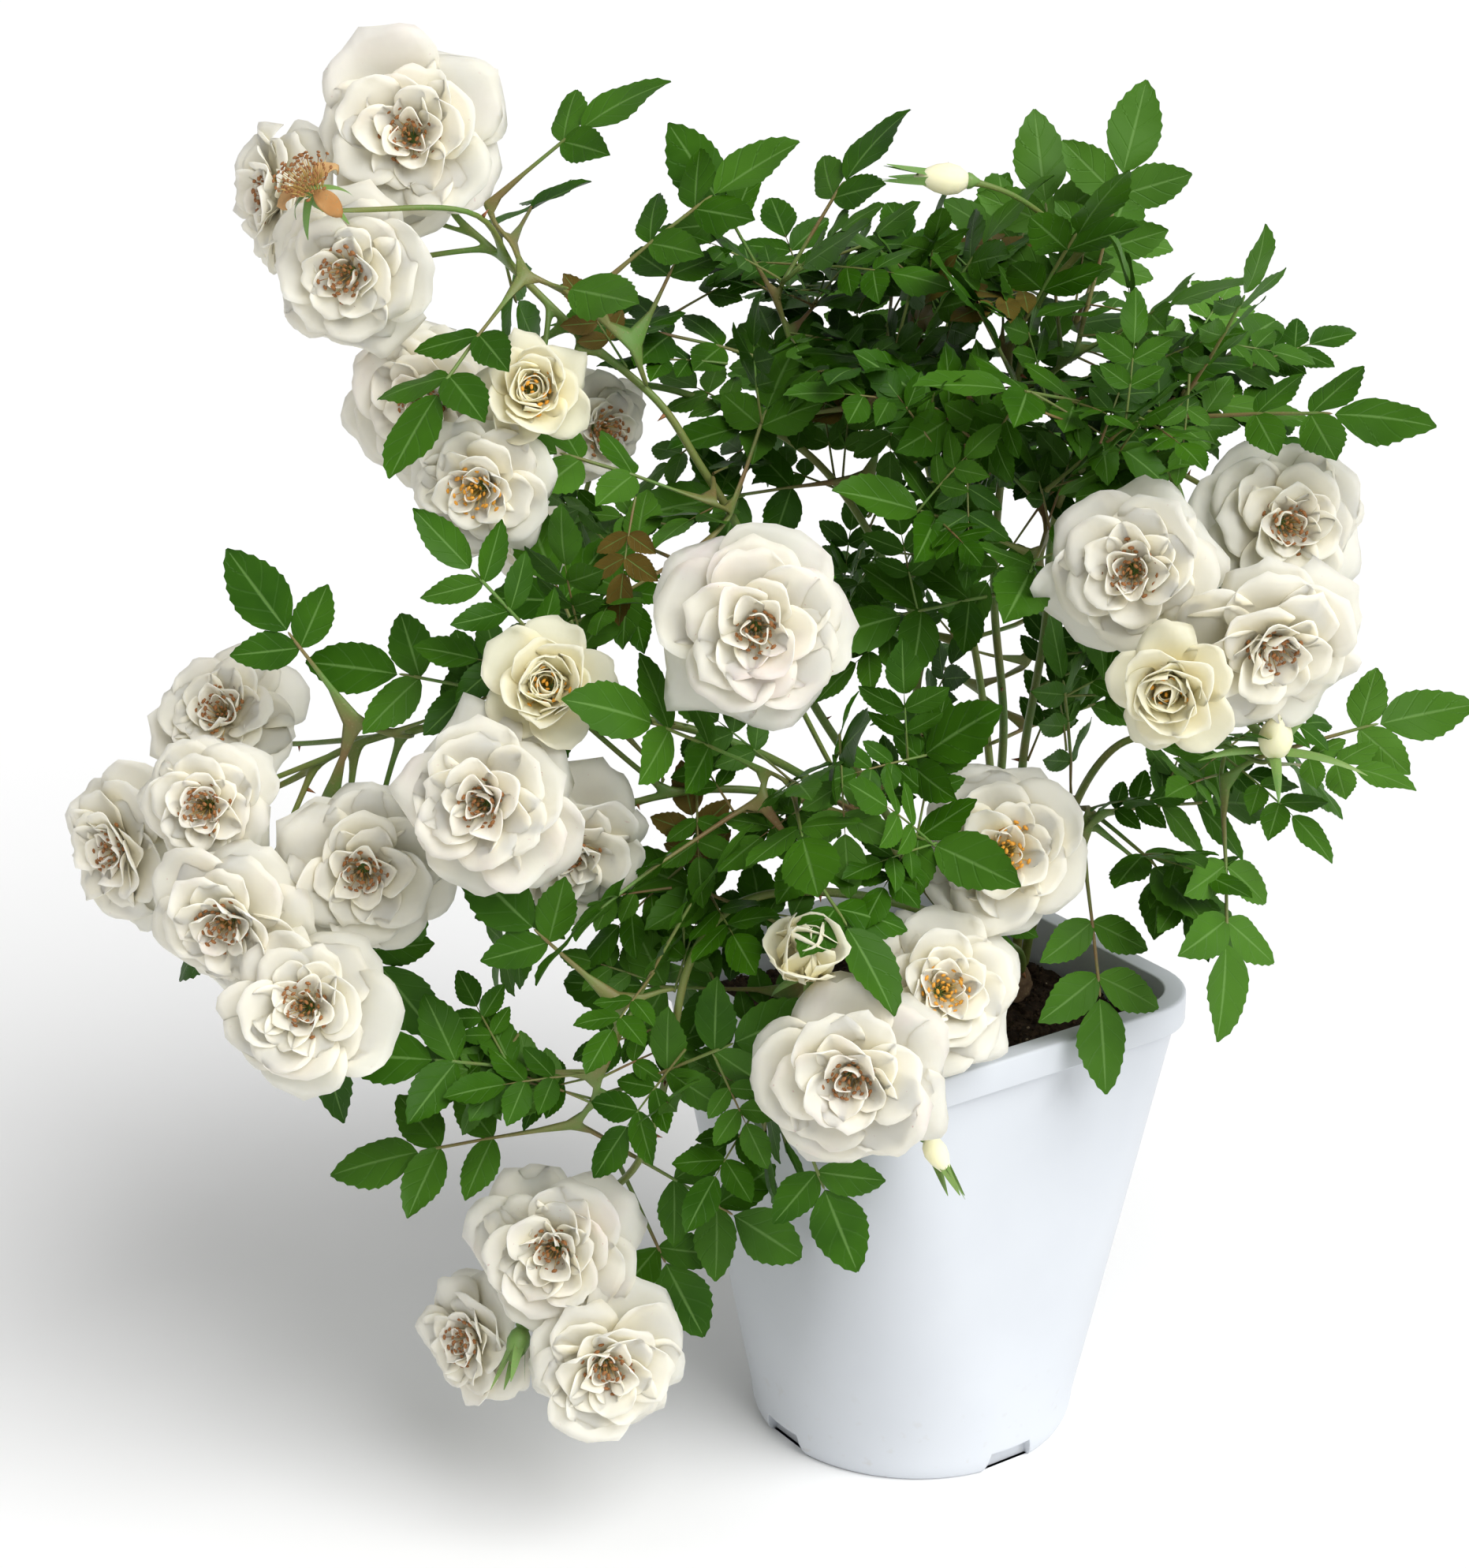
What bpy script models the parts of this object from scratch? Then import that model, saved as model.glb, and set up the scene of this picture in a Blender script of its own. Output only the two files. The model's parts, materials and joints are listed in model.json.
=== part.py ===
"""Potted rose: a white-flowered bush rose in its square-topped plastic nursery pot.

Metres, +Z up.  The origin is the middle of the pot's flat underside.
Each cane, bloom and leafy shoot is one closed solid, and no two of them touch.
"""
import math

import bmesh
import bpy
from mathutils import Matrix, Vector
from mathutils.bvhtree import BVHTree

# ---------------------------------------------------------------- pot sizes
POT_TOP = 0.180            # across the rim, flat to flat
POT_BASE = 0.136           # diameter of the round foot
POT_HEIGHT = 0.211
POT_TURN = math.radians(38)
RIM_CORNER = 0.031         # outer corner radius of the rim
RIM_WIDTH = 0.0095         # flat ring on top of the rim
RIM_DEPTH = 0.0136         # height of the turned-down flange
RIM_OVERHANG = 0.0040      # how far the flange stands out from the side
POT_WALL = 0.0030
POT_FLOOR = 0.0040
FOOT_CURVE = 0.012         # height over which the side rounds into the foot
NOTCH_HEIGHT = 0.010
NOTCH_WIDTH = 0.021
NOTCH_DEPTH = 0.007
FOOT_SOLID = NOTCH_DEPTH + 2 * POT_WALL    # solid ring behind the notches
DRAIN_HOLE = 0.009
DRAIN_CIRCLE = 0.042
SOIL_BELOW_RIM = 0.021
SOIL_SHRINK = 0.0018       # how far the soil has dried away from the side
SOIL_LUMP = 0.0016         # how far the soil rises and falls
CLEARANCE = 0.0003         # gap between touching pieces

# -------------------------------------------------------------- plant sizes
PLANT_HEIGHT = 0.400       # soil to the highest bloom
PLANT_SPREAD = 0.540       # across, left to right
CROWN_RADIUS = 0.018
CROWN_HEIGHT = 0.011
CANE_RADIUS = 0.0023
CANE_TIP = 0.0015
PEDICEL_RADIUS = 0.0011
TWIG_RADIUS = 0.0011
TWIG_STAND = 0.0040        # how far a twig stands square off its cane
PETIOLE = 0.0014           # across a leaf stalk
BLOOM_WIDTH = 0.066        # a fully open bloom
LEAFLET = 0.038            # length of an end leaflet
BLADE = 0.0010             # thickness of a leaflet
AIR = 0.0008               # least air kept round a leaf or stalk

# The plan is drawn in millimetres from the middle of the soil's surface, for a
# plant of these two sizes.
PLAN_HEIGHT = 400
PLAN_SPREAD = 540
CROWN_PLACE = (33, 26, 0)

SOIL_LEVEL = POT_HEIGHT - SOIL_BELOW_RIM
RING = 40                  # points round the pot

# name: canes as the points they pass through after the crown
CANES = {
    "cane_upper_left": [(-15, 20, 85), (-55, 0, 155), (-75, -5, 215), (-95, -10, 250),
                        (-110, -10, 275), (-140, -10, 300), (-170, -10, 330), (-192, -5, 348)],
    "cane_back_left": [(5, 58, 80), (-5, 55, 130), (0, 50, 155), (-15, 48, 182),
                       (-28, 42, 210), (-50, 38, 240), (-80, 35, 258), (-115, 35, 270),
                       (-142, 38, 268)],
    "cane_left": [(-20, -12, 92), (-70, -42, 138), (-125, -60, 158), (-175, -70, 158),
                  (-215, -72, 152), (-238, -70, 142), (-255, -60, 128)],
    "cane_centre": [(-2, -28, 80), (-45, -58, 122), (-90, -82, 135), (-125, -90, 128)],
    "cane_lower_left": [(0, -30, 62), (-45, -68, 88), (-88, -98, 98), (-110, -115, 80),
                        (-116, -118, 50), (-120, -112, 15), (-128, -100, -25),
                        (-140, -90, -50)],
    "cane_front": [(20, -30, 50), (0, -66, 62), (-14, -90, 55), (-20, -104, 46)],
    "cane_right": [(42, 24, 75), (42, 26, 110), (46, 22, 142), (50, 18, 178),
                   (50, 10, 212), (56, 0, 242), (75, -5, 256), (88, -12, 256),
                   (100, -22, 246)],
    "cane_middle_right": [(56, -4, 75), (66, -12, 112), (82, -22, 138), (104, -32, 142),
                          (124, -42, 144)],
    "cane_top_right": [(32, 62, 65), (35, 66, 115), (28, 60, 170), (30, 52, 230),
                       (36, 44, 275), (42, 40, 305), (54, 36, 322), (64, 32, 334)],
    "cane_back": [(32, 92, 60), (22, 120, 130), (2, 138, 195), (-6, 142, 225)],
}
# cane: its green closed bud or hip, as place, facing (azimuth, elevation), length
TIP_BUDS = {
    "cane_top_right": ((14, 8, 362), (-80, 6), 24),
    "cane_lower_left": ((-160, -122, -88), (-20, -45), 18),
    "cane_front": ((4, -142, 14), (40, -40), 18),
    "cane_middle_right": ((138, -72, 150), (0, 60), 26),
}
# name: cane, millimetres back from the cane's tip, place, facing (azimuth 0 looks
# to the front and grows to the right, elevation), width over BLOOM_WIDTH, form
BLOOMS = {
    "bloom_top_1": ("cane_upper_left", 0, (-206, -24, 384), (2, 18), 1.14, "open"),
    "bloom_top_2": ("cane_upper_left", 18, (-230, -50, 334), (-15, 5), 0.92, "open"),
    "bloom_top_3": ("cane_upper_left", 9, (-268, -8, 356), (-62, 8), 0.92, "open"),
    "bloom_top_spent": ("cane_upper_left", 27, (-240, -66, 374), (-25, 50), 0.42, "spent"),
    "bloom_upper_1": ("cane_upper_left", 62, (-204, -34, 278), (-12, 10), 1.02, "open"),
    "bloom_upper_2": ("cane_upper_left", 53, (-155, -66, 294), (5, 22), 0.66, "cup"),
    "bloom_upper_3": ("cane_upper_left", 72, (-177, -78, 256), (-12, 4), 0.82, "open"),
    "bloom_back_1": ("cane_back_left", 0, (-134, 12, 256), (35, 0), 0.66, "open"),
    "bloom_back_2": ("cane_back_left", 10, (-165, -2, 212), (-20, 15), 0.50, "cup"),
    "bloom_centre": ("cane_centre", 118, (-64, -140, 222), (3, 14), 1.10, "open"),
    "bloom_middle_1": ("cane_centre", 24, (-144, -128, 194), (0, 28), 0.74, "cup"),
    "bloom_middle_2": ("cane_centre", 12, (-168, -146, 152), (-12, 14), 1.04, "open"),
    "bloom_middle_3": ("cane_centre", 0, (-136, -126, 122), (14, -16), 0.94, "open"),
    "bloom_left_1": ("cane_left", 42, (-290, -44, 150), (-15, 40), 0.92, "open"),
    "bloom_left_2": ("cane_left", 24, (-286, -102, 130), (-4, 14), 0.80, "open"),
    "bloom_left_3": ("cane_left", 0, (-332, -74, 100), (-40, 4), 0.95, "open"),
    "bloom_left_4": ("cane_left", 12, (-276, -124, 88), (-14, -4), 0.94, "open"),
    "bloom_left_5": ("cane_left", 54, (-222, -108, 106), (6, 10), 1.04, "open"),
    "bloom_left_6": ("cane_left", 34, (-240, -140, 62), (-4, 22), 0.96, "open"),
    "bloom_right_1": ("cane_right", 10, (78, -86, 230), (-8, 12), 0.98, "open"),
    "bloom_right_2": ("cane_right", 20, (142, -40, 236), (12, 12), 1.02, "open"),
    "bloom_right_3": ("cane_right", 0, (134, -92, 200), (12, -16), 1.04, "open"),
    "bloom_right_4": ("cane_middle_right", 16, (92, -112, 190), (-12, 0), 0.74, "cup"),
    "bloom_front_1": ("cane_front", 75, (33, -84, 112), (6, 22), 1.00, "open"),
    "bloom_front_2": ("cane_front", 12, (10, -122, 68), (14, 28), 0.94, "open"),
    "bloom_front_3": ("cane_front", 0, (-26, -168, 50), (-5, 8), 1.10, "open"),
    "bloom_front_4": ("cane_front", 24, (-44, -146, 92), (-8, 52), 0.52, "bud"),
    "bloom_low_1": ("cane_lower_left", 20, (-148, -126, -52), (-10, 12), 1.04, "open"),
    "bloom_low_2": ("cane_lower_left", 10, (-124, -140, -98), (12, 0), 0.96, "open"),
    "bloom_low_3": ("cane_lower_left", 0, (-188, -108, -106), (-40, 4), 0.84, "open"),
}
# name: where the twig starts, then each leaf as where it leaves the twig, where it
# reaches to, and its number of leaflets
SHOOTS = {
    "leaves_upper_left": [(-110, -20, 285),
                          ((-120, -22, 295), (-112, 0, 315), 3),
                          ((-140, -25, 315), (-98, -15, 355), 5),
                          ((-150, -30, 322), (-125, -55, 330), 1),
                          ((-160, -32, 328), (-180, -60, 290), 5),
                          ((-168, -22, 338), (-165, 20, 348), 3),
                          ((-174, -18, 344), (-212, 22, 305), 3),
                          ((-178, -18, 352), (-140, -14, 388), 3)],
    "leaves_at_bend": [(-84, -22, 245),
                       ((-86, -30, 238), (-140, -60, 282), 5),
                       ((-80, -24, 232), (-66, 8, 278), 3),
                       ((-90, -36, 222), (-138, -52, 198), 5),
                       ((-88, -46, 214), (-122, -20, 220), 3)],
    "leaves_top_middle": [(-52, 38, 252),
                          ((-54, 34, 278), (-94, 18, 310), 5),
                          ((-60, 32, 292), (-48, 78, 300), 5),
                          ((-64, 30, 308), (-88, 30, 342), 3),
                          ((-62, 28, 316), (-34, 42, 366), 3),
                          ((-60, 24, 318), (-28, -2, 354), 1),
                          ((-55, 30, 322), (-30, 62, 326), 3)],
    "leaves_back_left": [(-22, 40, 215),
                         ((-24, 34, 232), (-92, 0, 285), 5),
                         ((-22, 36, 250), (-30, 28, 320), 5),
                         ((-26, 38, 262), (-66, 14, 296), 5),
                         ((-20, 42, 268), (-20, 95, 300), 5),
                         ((-16, 40, 272), (15, 40, 330), 5)],
    "leaves_top_centre": [(36, 42, 245),
                          ((34, 38, 252), (-30, 62, 300), 5),
                          ((30, 34, 262), (-20, 5, 292), 5),
                          ((34, 34, 268), (82, 8, 290), 5),
                          ((34, 28, 276), (15, -8, 325), 3),
                          ((30, 36, 284), (24, 42, 350), 5),
                          ((28, 44, 290), (30, 100, 330), 5)],
    "leaves_top_right": [(44, 34, 266),
                         ((48, 28, 272), (110, 4, 298), 5),
                         ((50, 44, 278), (0, 62, 305), 5),
                         ((54, 36, 284), (45, 52, 345), 5),
                         ((58, 28, 290), (94, 8, 316), 3),
                         ((60, 30, 298), (76, 42, 360), 5),
                         ((58, 38, 302), (78, 100, 330), 5)],
    "leaves_right": [(90, -8, 266),
                     ((90, -8, 270), (38, -34, 290), 5),
                     ((98, -14, 272), (142, -34, 282), 5),
                     ((102, -8, 276), (92, -22, 376), 7),
                     ((104, -2, 280), (130, 50, 290), 5)],
    "leaves_middle_right": [(52, 10, 188),
                            ((48, 2, 196), (-10, -34, 196), 5),
                            ((46, -4, 210), (-8, -44, 246), 5),
                            ((48, -10, 222), (40, -66, 222), 3),
                            ((46, 0, 232), (2, -24, 280), 5),
                            ((46, -10, 240), (62, -44, 296), 5)],
    "leaves_low_right": [(60, -10, 92),
                         ((60, 0, 100), (58, -24, 200), 7),
                         ((66, -16, 108), (88, -45, 100), 3),
                         ((64, -28, 108), (108, -44, 78), 3),
                         ((62, -38, 104), (78, -76, 30), 5),
                         ((70, -30, 112), (122, 10, 100), 5)],
    "leaves_far_right": [(122, -46, 140),
                         ((120, -54, 136), (118, -66, 80), 5),
                         ((136, -54, 146), (205, -50, 166), 3),
                         ((140, -50, 140), (160, 5, 120), 5)],
    "leaves_middle_left": [(-96, -90, 145),
                           ((-118, -100, 166), (-150, -100, 225), 5),
                           ((-132, -98, 182), (-198, -112, 262), 7),
                           ((-140, -94, 172), (-215, -84, 185), 5),
                           ((-150, -92, 150), (-168, -120, 45), 7)],
    "leaves_centre": [(-20, -48, 106),
                      ((-26, -60, 118), (25, -102, 185), 3),
                      ((-30, -68, 124), (20, -112, 120), 3),
                      ((-38, -74, 132), (-32, -132, 182), 3),
                      ((-50, -86, 140), (-46, -142, 138), 3),
                      ((-58, -92, 146), (-98, -130, 180), 5),
                      ((-62, -98, 138), (-24, -146, 104), 5),
                      ((-72, -102, 132), (-122, -136, 112), 5)],
    "leaves_left": [(-204, -78, 148),
                    ((-212, -84, 156), (-202, -108, 196), 5),
                    ((-224, -86, 160), (-278, -92, 240), 3),
                    ((-240, -80, 130), (-225, -72, 92), 3),
                    ((-250, -58, 108), (-330, -46, 28), 5),
                    ((-254, -48, 80), (-212, -62, 26), 3),
                    ((-258, -44, 58), (-250, -72, -6), 3),
                    ((-256, -38, 52), (-270, 20, 40), 5)],
    "leaves_lower_left": [(-112, -128, 70),
                          ((-116, -138, 64), (-144, -156, 102), 3),
                          ((-120, -132, 44), (-104, -140, 108), 5),
                          ((-126, -126, 28), (-192, -132, 38), 5),
                          ((-130, -122, 16), (-106, -158, 62), 5),
                          ((-136, -116, 2), (-212, -122, -10), 5),
                          ((-128, -104, -10), (-80, -112, -32), 5),
                          ((-122, -94, -28), (-98, -100, -84), 3)],
    "leaves_front": [(-12, -84, 60),
                     ((-34, -110, 76), (-85, -96, 98), 5),
                     ((-50, -126, 66), (-104, -122, 72), 5),
                     ((-60, -136, 50), (-88, -144, -18), 5),
                     ((-56, -142, 34), (-20, -152, -50), 3),
                     ((-64, -132, 38), (-50, -136, -34), 3)],
    "leaves_back_high": [(14, 130, 160),
                         ((6, 140, 182), (66, 190, 220), 5),
                         ((-4, 150, 208), (-76, 190, 240), 5),
                         ((0, 156, 236), (20, 176, 320), 5),
                         ((-12, 148, 244), (-52, 98, 305), 5),
                         ((4, 142, 250), (70, 110, 290), 5)],
    "leaves_back_low": [(30, 104, 88),
                        ((44, 114, 92), (120, 150, 110), 5),
                        ((24, 132, 104), (-30, 200, 118), 5),
                        ((46, 126, 118), (92, 190, 172), 5),
                        ((14, 124, 128), (-76, 142, 160), 5),
                        ((40, 130, 136), (110, 100, 190), 5)],
}
# leaflets: where the pairs leave the rachis and where the end leaflet starts, as shares of
# the leaf's length; the end leaflet's length over LEAFLET; width over length; and the
# length of the pairs over the end leaflet's, as its first value and its growth per pair
LEAF_FORMS = {1: ((), 0.22, 1.0, 0.62, (0.0, 0.0)),
              3: ((0.46,), 0.56, 1.0, 0.62, (0.70, 0.0)),
              5: ((0.34, 0.55), 0.64, 1.0, 0.60, (0.70, 0.10)),
              7: ((0.26, 0.44, 0.60), 0.68, 0.80, 0.48, (0.70, 0.05))}
# pitches and rolls tried, in this order, until a leaf hangs free of its neighbours
LEAF_TURNS = [(roll, pitch, size) for size in (1.0, 0.85, 0.72, 0.6, 0.5, 0.4, 0.3)
              for pitch in (0, 18, -18, 36, -36, 58, -58)
              for roll in (0, 20, -20, 42, -42, 70, -70, 110)]

COLOURS = {
    "pot": ((0.78, 0.80, 0.84), 0.35),
    "soil": ((0.045, 0.028, 0.018), 0.95),
    "bark": ((0.16, 0.10, 0.05), 0.80),
    "cane": ((0.14, 0.26, 0.05), 0.45),
    "leaf": ((0.025, 0.12, 0.02), 0.38),
    "open": ((0.90, 0.86, 0.76), 0.60),
    "cup": ((0.90, 0.84, 0.58), 0.60),
    "bud": ((0.86, 0.80, 0.52), 0.60),
    "spent": ((0.42, 0.22, 0.08), 0.80),
}


# ------------------------------------------------------------------- tools
def clear_scene():
    for thing in list(bpy.data.objects):
        bpy.data.objects.remove(thing, do_unlink=True)


def material(name):
    found = bpy.data.materials.get(name)
    if found:
        return found
    made = bpy.data.materials.new(name)
    made.use_nodes = True
    shader = made.node_tree.nodes["Principled BSDF"]
    colour, roughness = COLOURS[name]
    shader.inputs["Base Color"].default_value = (*colour, 1)
    shader.inputs["Roughness"].default_value = roughness
    shader.inputs["Metallic"].default_value = 0
    return made


def add_object(name, bm, finish):
    mesh = bpy.data.meshes.new(name)
    bm.to_mesh(mesh)
    bm.free()
    mesh.materials.append(material(finish))
    thing = bpy.data.objects.new(name, mesh)
    bpy.context.scene.collection.objects.link(thing)
    return thing


def spot(place):
    """A point of the plan, in metres, for the plant's size and on this pot's soil."""
    x, y, z = place
    across = PLANT_SPREAD / PLAN_SPREAD
    up = PLANT_HEIGHT / PLAN_HEIGHT
    return Vector((x * across, y * across, z * up + SOIL_LEVEL))


def facing(azimuth, elevation):
    """Unit vector; azimuth 0 looks to the front (-Y) and grows to the right."""
    a = math.radians(azimuth)
    e = math.radians(elevation)
    return Vector((math.sin(a) * math.cos(e), -math.cos(a) * math.cos(e), math.sin(e)))


def square_to(along, wanted):
    """The unit vector nearest to `wanted` that is square to `along`."""
    flat = wanted - along * wanted.dot(along)
    if flat.length < 1e-4:
        flat = along.orthogonal()
    return flat.normalized()


def section(place, along, top, wide, thick):
    """Four corners, counter-clockwise seen from ahead of `along`."""
    top = square_to(along, top)
    side = top.cross(along)
    return [place + side * (a * wide / 2) + top * (b * thick / 2)
            for a, b in ((-1, -1), (1, -1), (1, 1), (-1, 1))]


def smooth_route(points, steps):
    """Points of a Catmull-Rom curve through `points`."""
    padded = [2 * points[0] - points[1], *points, 2 * points[-1] - points[-2]]
    route = []
    for a, b, c, d in zip(padded, padded[1:], padded[2:], padded[3:]):
        for k in range(steps):
            t = k / steps
            route.append(0.5 * (2 * b + (c - a) * t + (2 * a - 5 * b + 4 * c - d) * t * t
                                + (3 * b - a - 3 * c + d) * t ** 3))
    route.append(points[-1])
    return route


def bezier(start, leave, arrive, end, steps):
    out = []
    for k in range(steps + 1):
        t = k / steps
        s = 1 - t
        out.append(start * s ** 3 + leave * (3 * s * s * t) + arrive * (3 * s * t * t)
                   + end * t ** 3)
    return out


def distances(points):
    """Length along the points up to each of them."""
    run = [0.0]
    for a, b in zip(points, points[1:]):
        run.append(run[-1] + (b - a).length)
    return run


def point_at(points, length):
    """The point and direction at `length` along the points."""
    run = distances(points)
    for k in range(len(points) - 1):
        if length <= run[k + 1] or k == len(points) - 2:
            step = points[k + 1] - points[k]
            return points[k] + step * ((length - run[k]) / step.length), step.normalized()


class Grown:
    """A solid that grows: every step carries an open loop of four vertices on."""

    def __init__(self, bm=None):
        self.bm = bm or bmesh.new()

    def copied(self, walls):
        """A copy of the solid, and the given walls in it."""
        self.bm.faces.index_update()
        twin = Grown(self.bm.copy())
        twin.bm.faces.ensure_lookup_table()
        return twin, [twin.bm.faces[wall.index] for wall in walls]

    def start(self, corners):
        loop = [self.bm.verts.new(c) for c in corners]
        self.bm.faces.new(list(reversed(loop)))
        return loop

    def sleeve(self, loop, corners):
        """Walls from the open loop to four new corners; gives the new loop and walls."""
        def spread(turn):
            return sum((loop[i].co - corners[(i + turn) % 4]).length for i in range(4))
        turn = min(range(4), key=spread)
        new = [self.bm.verts.new(corners[(i + turn) % 4]) for i in range(4)]
        walls = [self.bm.faces.new((loop[i], loop[(i + 1) % 4], new[(i + 1) % 4], new[i]))
                 for i in range(4)]
        return new, walls

    def cap(self, loop):
        self.bm.faces.new(loop)

    def wedge(self, loop, tip, across):
        """Closes the loop to an edge of half length `across` either side of the tip."""
        ends = [self.bm.verts.new(tip + across * way) for way in (-1, 1)]
        centre = sum((v.co for v in loop), Vector()) / 4
        near = [ends[(v.co - centre).dot(across) > 0] for v in loop]
        for i in range(4):
            j = (i + 1) % 4
            corners = [loop[i], loop[j], near[j]]
            if near[i] is not near[j]:
                corners.append(near[i])
            self.bm.faces.new(corners)

    def branch(self, walls, way):
        """Opens the wall that looks most the given way and gives its loop."""
        left = [w for w in walls if w.is_valid]
        for wall in left:
            wall.normal_update()
        wall = max(left, key=lambda w: w.normal.dot(way))
        loop = list(wall.verts)
        self.bm.faces.remove(wall)
        return loop

    def run(self, loop, points, radii, top, last=None):
        """A square stem along the points, its end square to `last`.

        Gives the last loop and each step's walls.
        """
        all_walls = []
        for k in range(1, len(points)):
            before = points[k] - points[k - 1]
            after = points[min(k + 1, len(points) - 1)] - points[k]
            along = (before.normalized() + after.normalized()).normalized()
            if last and k == len(points) - 1:
                along = last
            across = 1.8 * radii[k]
            loop, walls = self.sleeve(loop, section(points[k], along, top, across, across))
            all_walls.append(walls)
        return loop, all_walls

    def tree(self):
        return BVHTree.FromBMesh(self.bm)

    def crosses_itself(self):
        """Whether any two faces that share no corner meet."""
        self.bm.faces.index_update()
        corners = [set(face.verts) for face in self.bm.faces]
        tree = self.tree()
        return any(corners[a].isdisjoint(corners[b]) for a, b in tree.overlap(tree))


class Bench:
    """What is placed so far, to keep the next piece clear of it."""

    def __init__(self):
        self.trees = []

    def add(self, bm):
        bm.normal_update()
        self.trees.append(BVHTree.FromBMesh(bm))

    def blocked(self, tree, also=()):
        return any(tree.overlap(other) for other in [*self.trees, *also])

    def first_free(self, tries, grow, air=AIR, also=()):
        """The first of the tries that is clear, with air round it, of all that is placed and
        of the trees in `also`, and whose plain solid touches nothing and not itself."""
        for tried in tries:
            thick = grow(tried, air)
            clear = not self.blocked(thick.tree(), also)
            thick.bm.free()
            if clear:
                plain = grow(tried, 0.0)
                clear = not (self.blocked(plain.tree()) or plain.crosses_itself())
                plain.bm.free()
            if clear:
                return tried
        return None

    def must_fit(self, name, tries, grow, air=AIR):
        """As first_free, for a piece that the plant can't do without."""
        found = self.first_free(tries, grow, air)
        if found is None:
            raise ValueError("no room for " + name)
        return found


def outline(half, corner, z, count=RING):
    """A square with rounded corners; with corner == half it is a circle."""
    points = []
    core = half - corner
    for k in range(count):
        angle = math.tau * k / count
        c = abs(math.cos(angle))
        s = abs(math.sin(angle))
        c, s = max(c, s), min(c, s)
        if half * s / c <= core:
            reach = half / c
        else:
            reach = core * (c + s) + math.sqrt(corner ** 2 - core ** 2 * (1 - 2 * c * s))
        turned = angle + POT_TURN
        points.append(Vector((reach * math.cos(turned), reach * math.sin(turned), z)))
    return points


def side_at(z, inset):
    """Half width and corner radius of the pot's side at a height."""
    foot = POT_BASE / 2
    top = POT_TOP / 2 - RIM_OVERHANG
    share = max(0.0, (z - FOOT_CURVE) / (POT_HEIGHT - RIM_DEPTH - FOOT_CURVE))
    bulge = 0.0045
    low = foot + bulge
    half = low + (top - low) * share
    corner = low + (RIM_CORNER - RIM_OVERHANG - low) * share
    return half - inset, corner - inset


def loft(bm, rings, cap_first=True, cap_last=True):
    """Closed skin over rings of points, listed so that the faces look outward."""
    loops = [[bm.verts.new(p) for p in ring] for ring in rings]
    for low, high in zip(loops, loops[1:]):
        count = len(low)
        for k in range(count):
            bm.faces.new((low[k], low[(k + 1) % count], high[(k + 1) % count], high[k]))
    if cap_first:
        bm.faces.new(list(reversed(loops[0])))
    if cap_last:
        bm.faces.new(loops[-1])
    return loops


def cutter(name, bm):
    thing = add_object(name, bm, "pot")
    thing.hide_render = True
    thing.display_type = "WIRE"
    return thing


def foot_shelf():
    """Height of the solid ring inside the foot, which the notches are cut into."""
    return NOTCH_HEIGHT + POT_WALL


def ledge_height():
    """Where the inside steps in under the rim."""
    return POT_HEIGHT - 2 * RIM_DEPTH


def build_pot():
    half_top = POT_TOP / 2
    edge = 0.0012
    under = POT_HEIGHT - RIM_DEPTH
    rings = []
    for angle in (0, 45, 90):
        a = math.radians(angle)
        half, _ = side_at(FOOT_CURVE, 0)
        foot = POT_BASE / 2
        reach = foot + (half - foot) * math.sin(a)
        rings.append(outline(reach, reach, FOOT_CURVE * (1 - math.cos(a))))
    for share in (0.5, 1.0):
        z = FOOT_CURVE + (under - FOOT_CURVE) * share
        rings.append(outline(*side_at(z, 0), z))
    rings.append(outline(half_top, RIM_CORNER, under))
    rings.append(outline(half_top, RIM_CORNER, POT_HEIGHT - edge))
    rings.append(outline(half_top - edge, RIM_CORNER - edge, POT_HEIGHT))
    rings.append(outline(half_top - RIM_WIDTH, RIM_CORNER - RIM_WIDTH, POT_HEIGHT))
    rings.append(outline(half_top - RIM_WIDTH, RIM_CORNER - RIM_WIDTH, under))
    rings.append(outline(*side_at(ledge_height(), POT_WALL), ledge_height()))
    shelf = foot_shelf()
    for share in (0.66, 0.33, 0.0):
        z = shelf + (ledge_height() - shelf) * share
        rings.append(outline(*side_at(z, POT_WALL), z))
    rings.append(outline(*side_at(shelf, FOOT_SOLID), shelf))
    rings.append(outline(*side_at(0, FOOT_SOLID), POT_FLOOR))
    bm = bmesh.new()
    loft(bm, rings)
    pot = add_object("pot", bm, "pot")
    cuts = bmesh.new()
    for k in range(4):
        angle = POT_TURN + math.tau * k / 4
        reach = side_at(FOOT_CURVE, 0)[0]
        place = Matrix.Rotation(angle, 4, "Z") @ Matrix.Translation((reach, 0, 0))
        size = Matrix.Diagonal((2 * NOTCH_DEPTH, NOTCH_WIDTH, 2 * NOTCH_HEIGHT, 1))
        bmesh.ops.create_cube(cuts, size=1, matrix=place @ size)
        turn = Matrix.Rotation(angle + math.tau / 8, 4, "Z")
        bmesh.ops.create_cone(cuts, cap_ends=True, segments=10, radius1=DRAIN_HOLE / 2,
                              radius2=DRAIN_HOLE / 2, depth=4 * POT_FLOOR,
                              matrix=turn @ Matrix.Translation((DRAIN_CIRCLE, 0, 0)))
    cut = cutter("foot_cuts", cuts)
    tool = pot.modifiers.new("foot cuts", "BOOLEAN")
    tool.operation = "DIFFERENCE"
    tool.object = cut
    return pot


def soil_height(x, y):
    """Height of the soil's surface, level under the crown."""
    away = min(1.0, max(0.0, math.hypot(x - CROWN_PLACE[0] / 1000, y - CROWN_PLACE[1] / 1000)
                        / CROWN_RADIUS - 1.3))
    lump = math.sin(x * 210 + 1) * math.cos(y * 170) + 0.6 * math.sin(x * 90 - y * 330)
    return SOIL_LEVEL + SOIL_LUMP * away * lump


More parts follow.
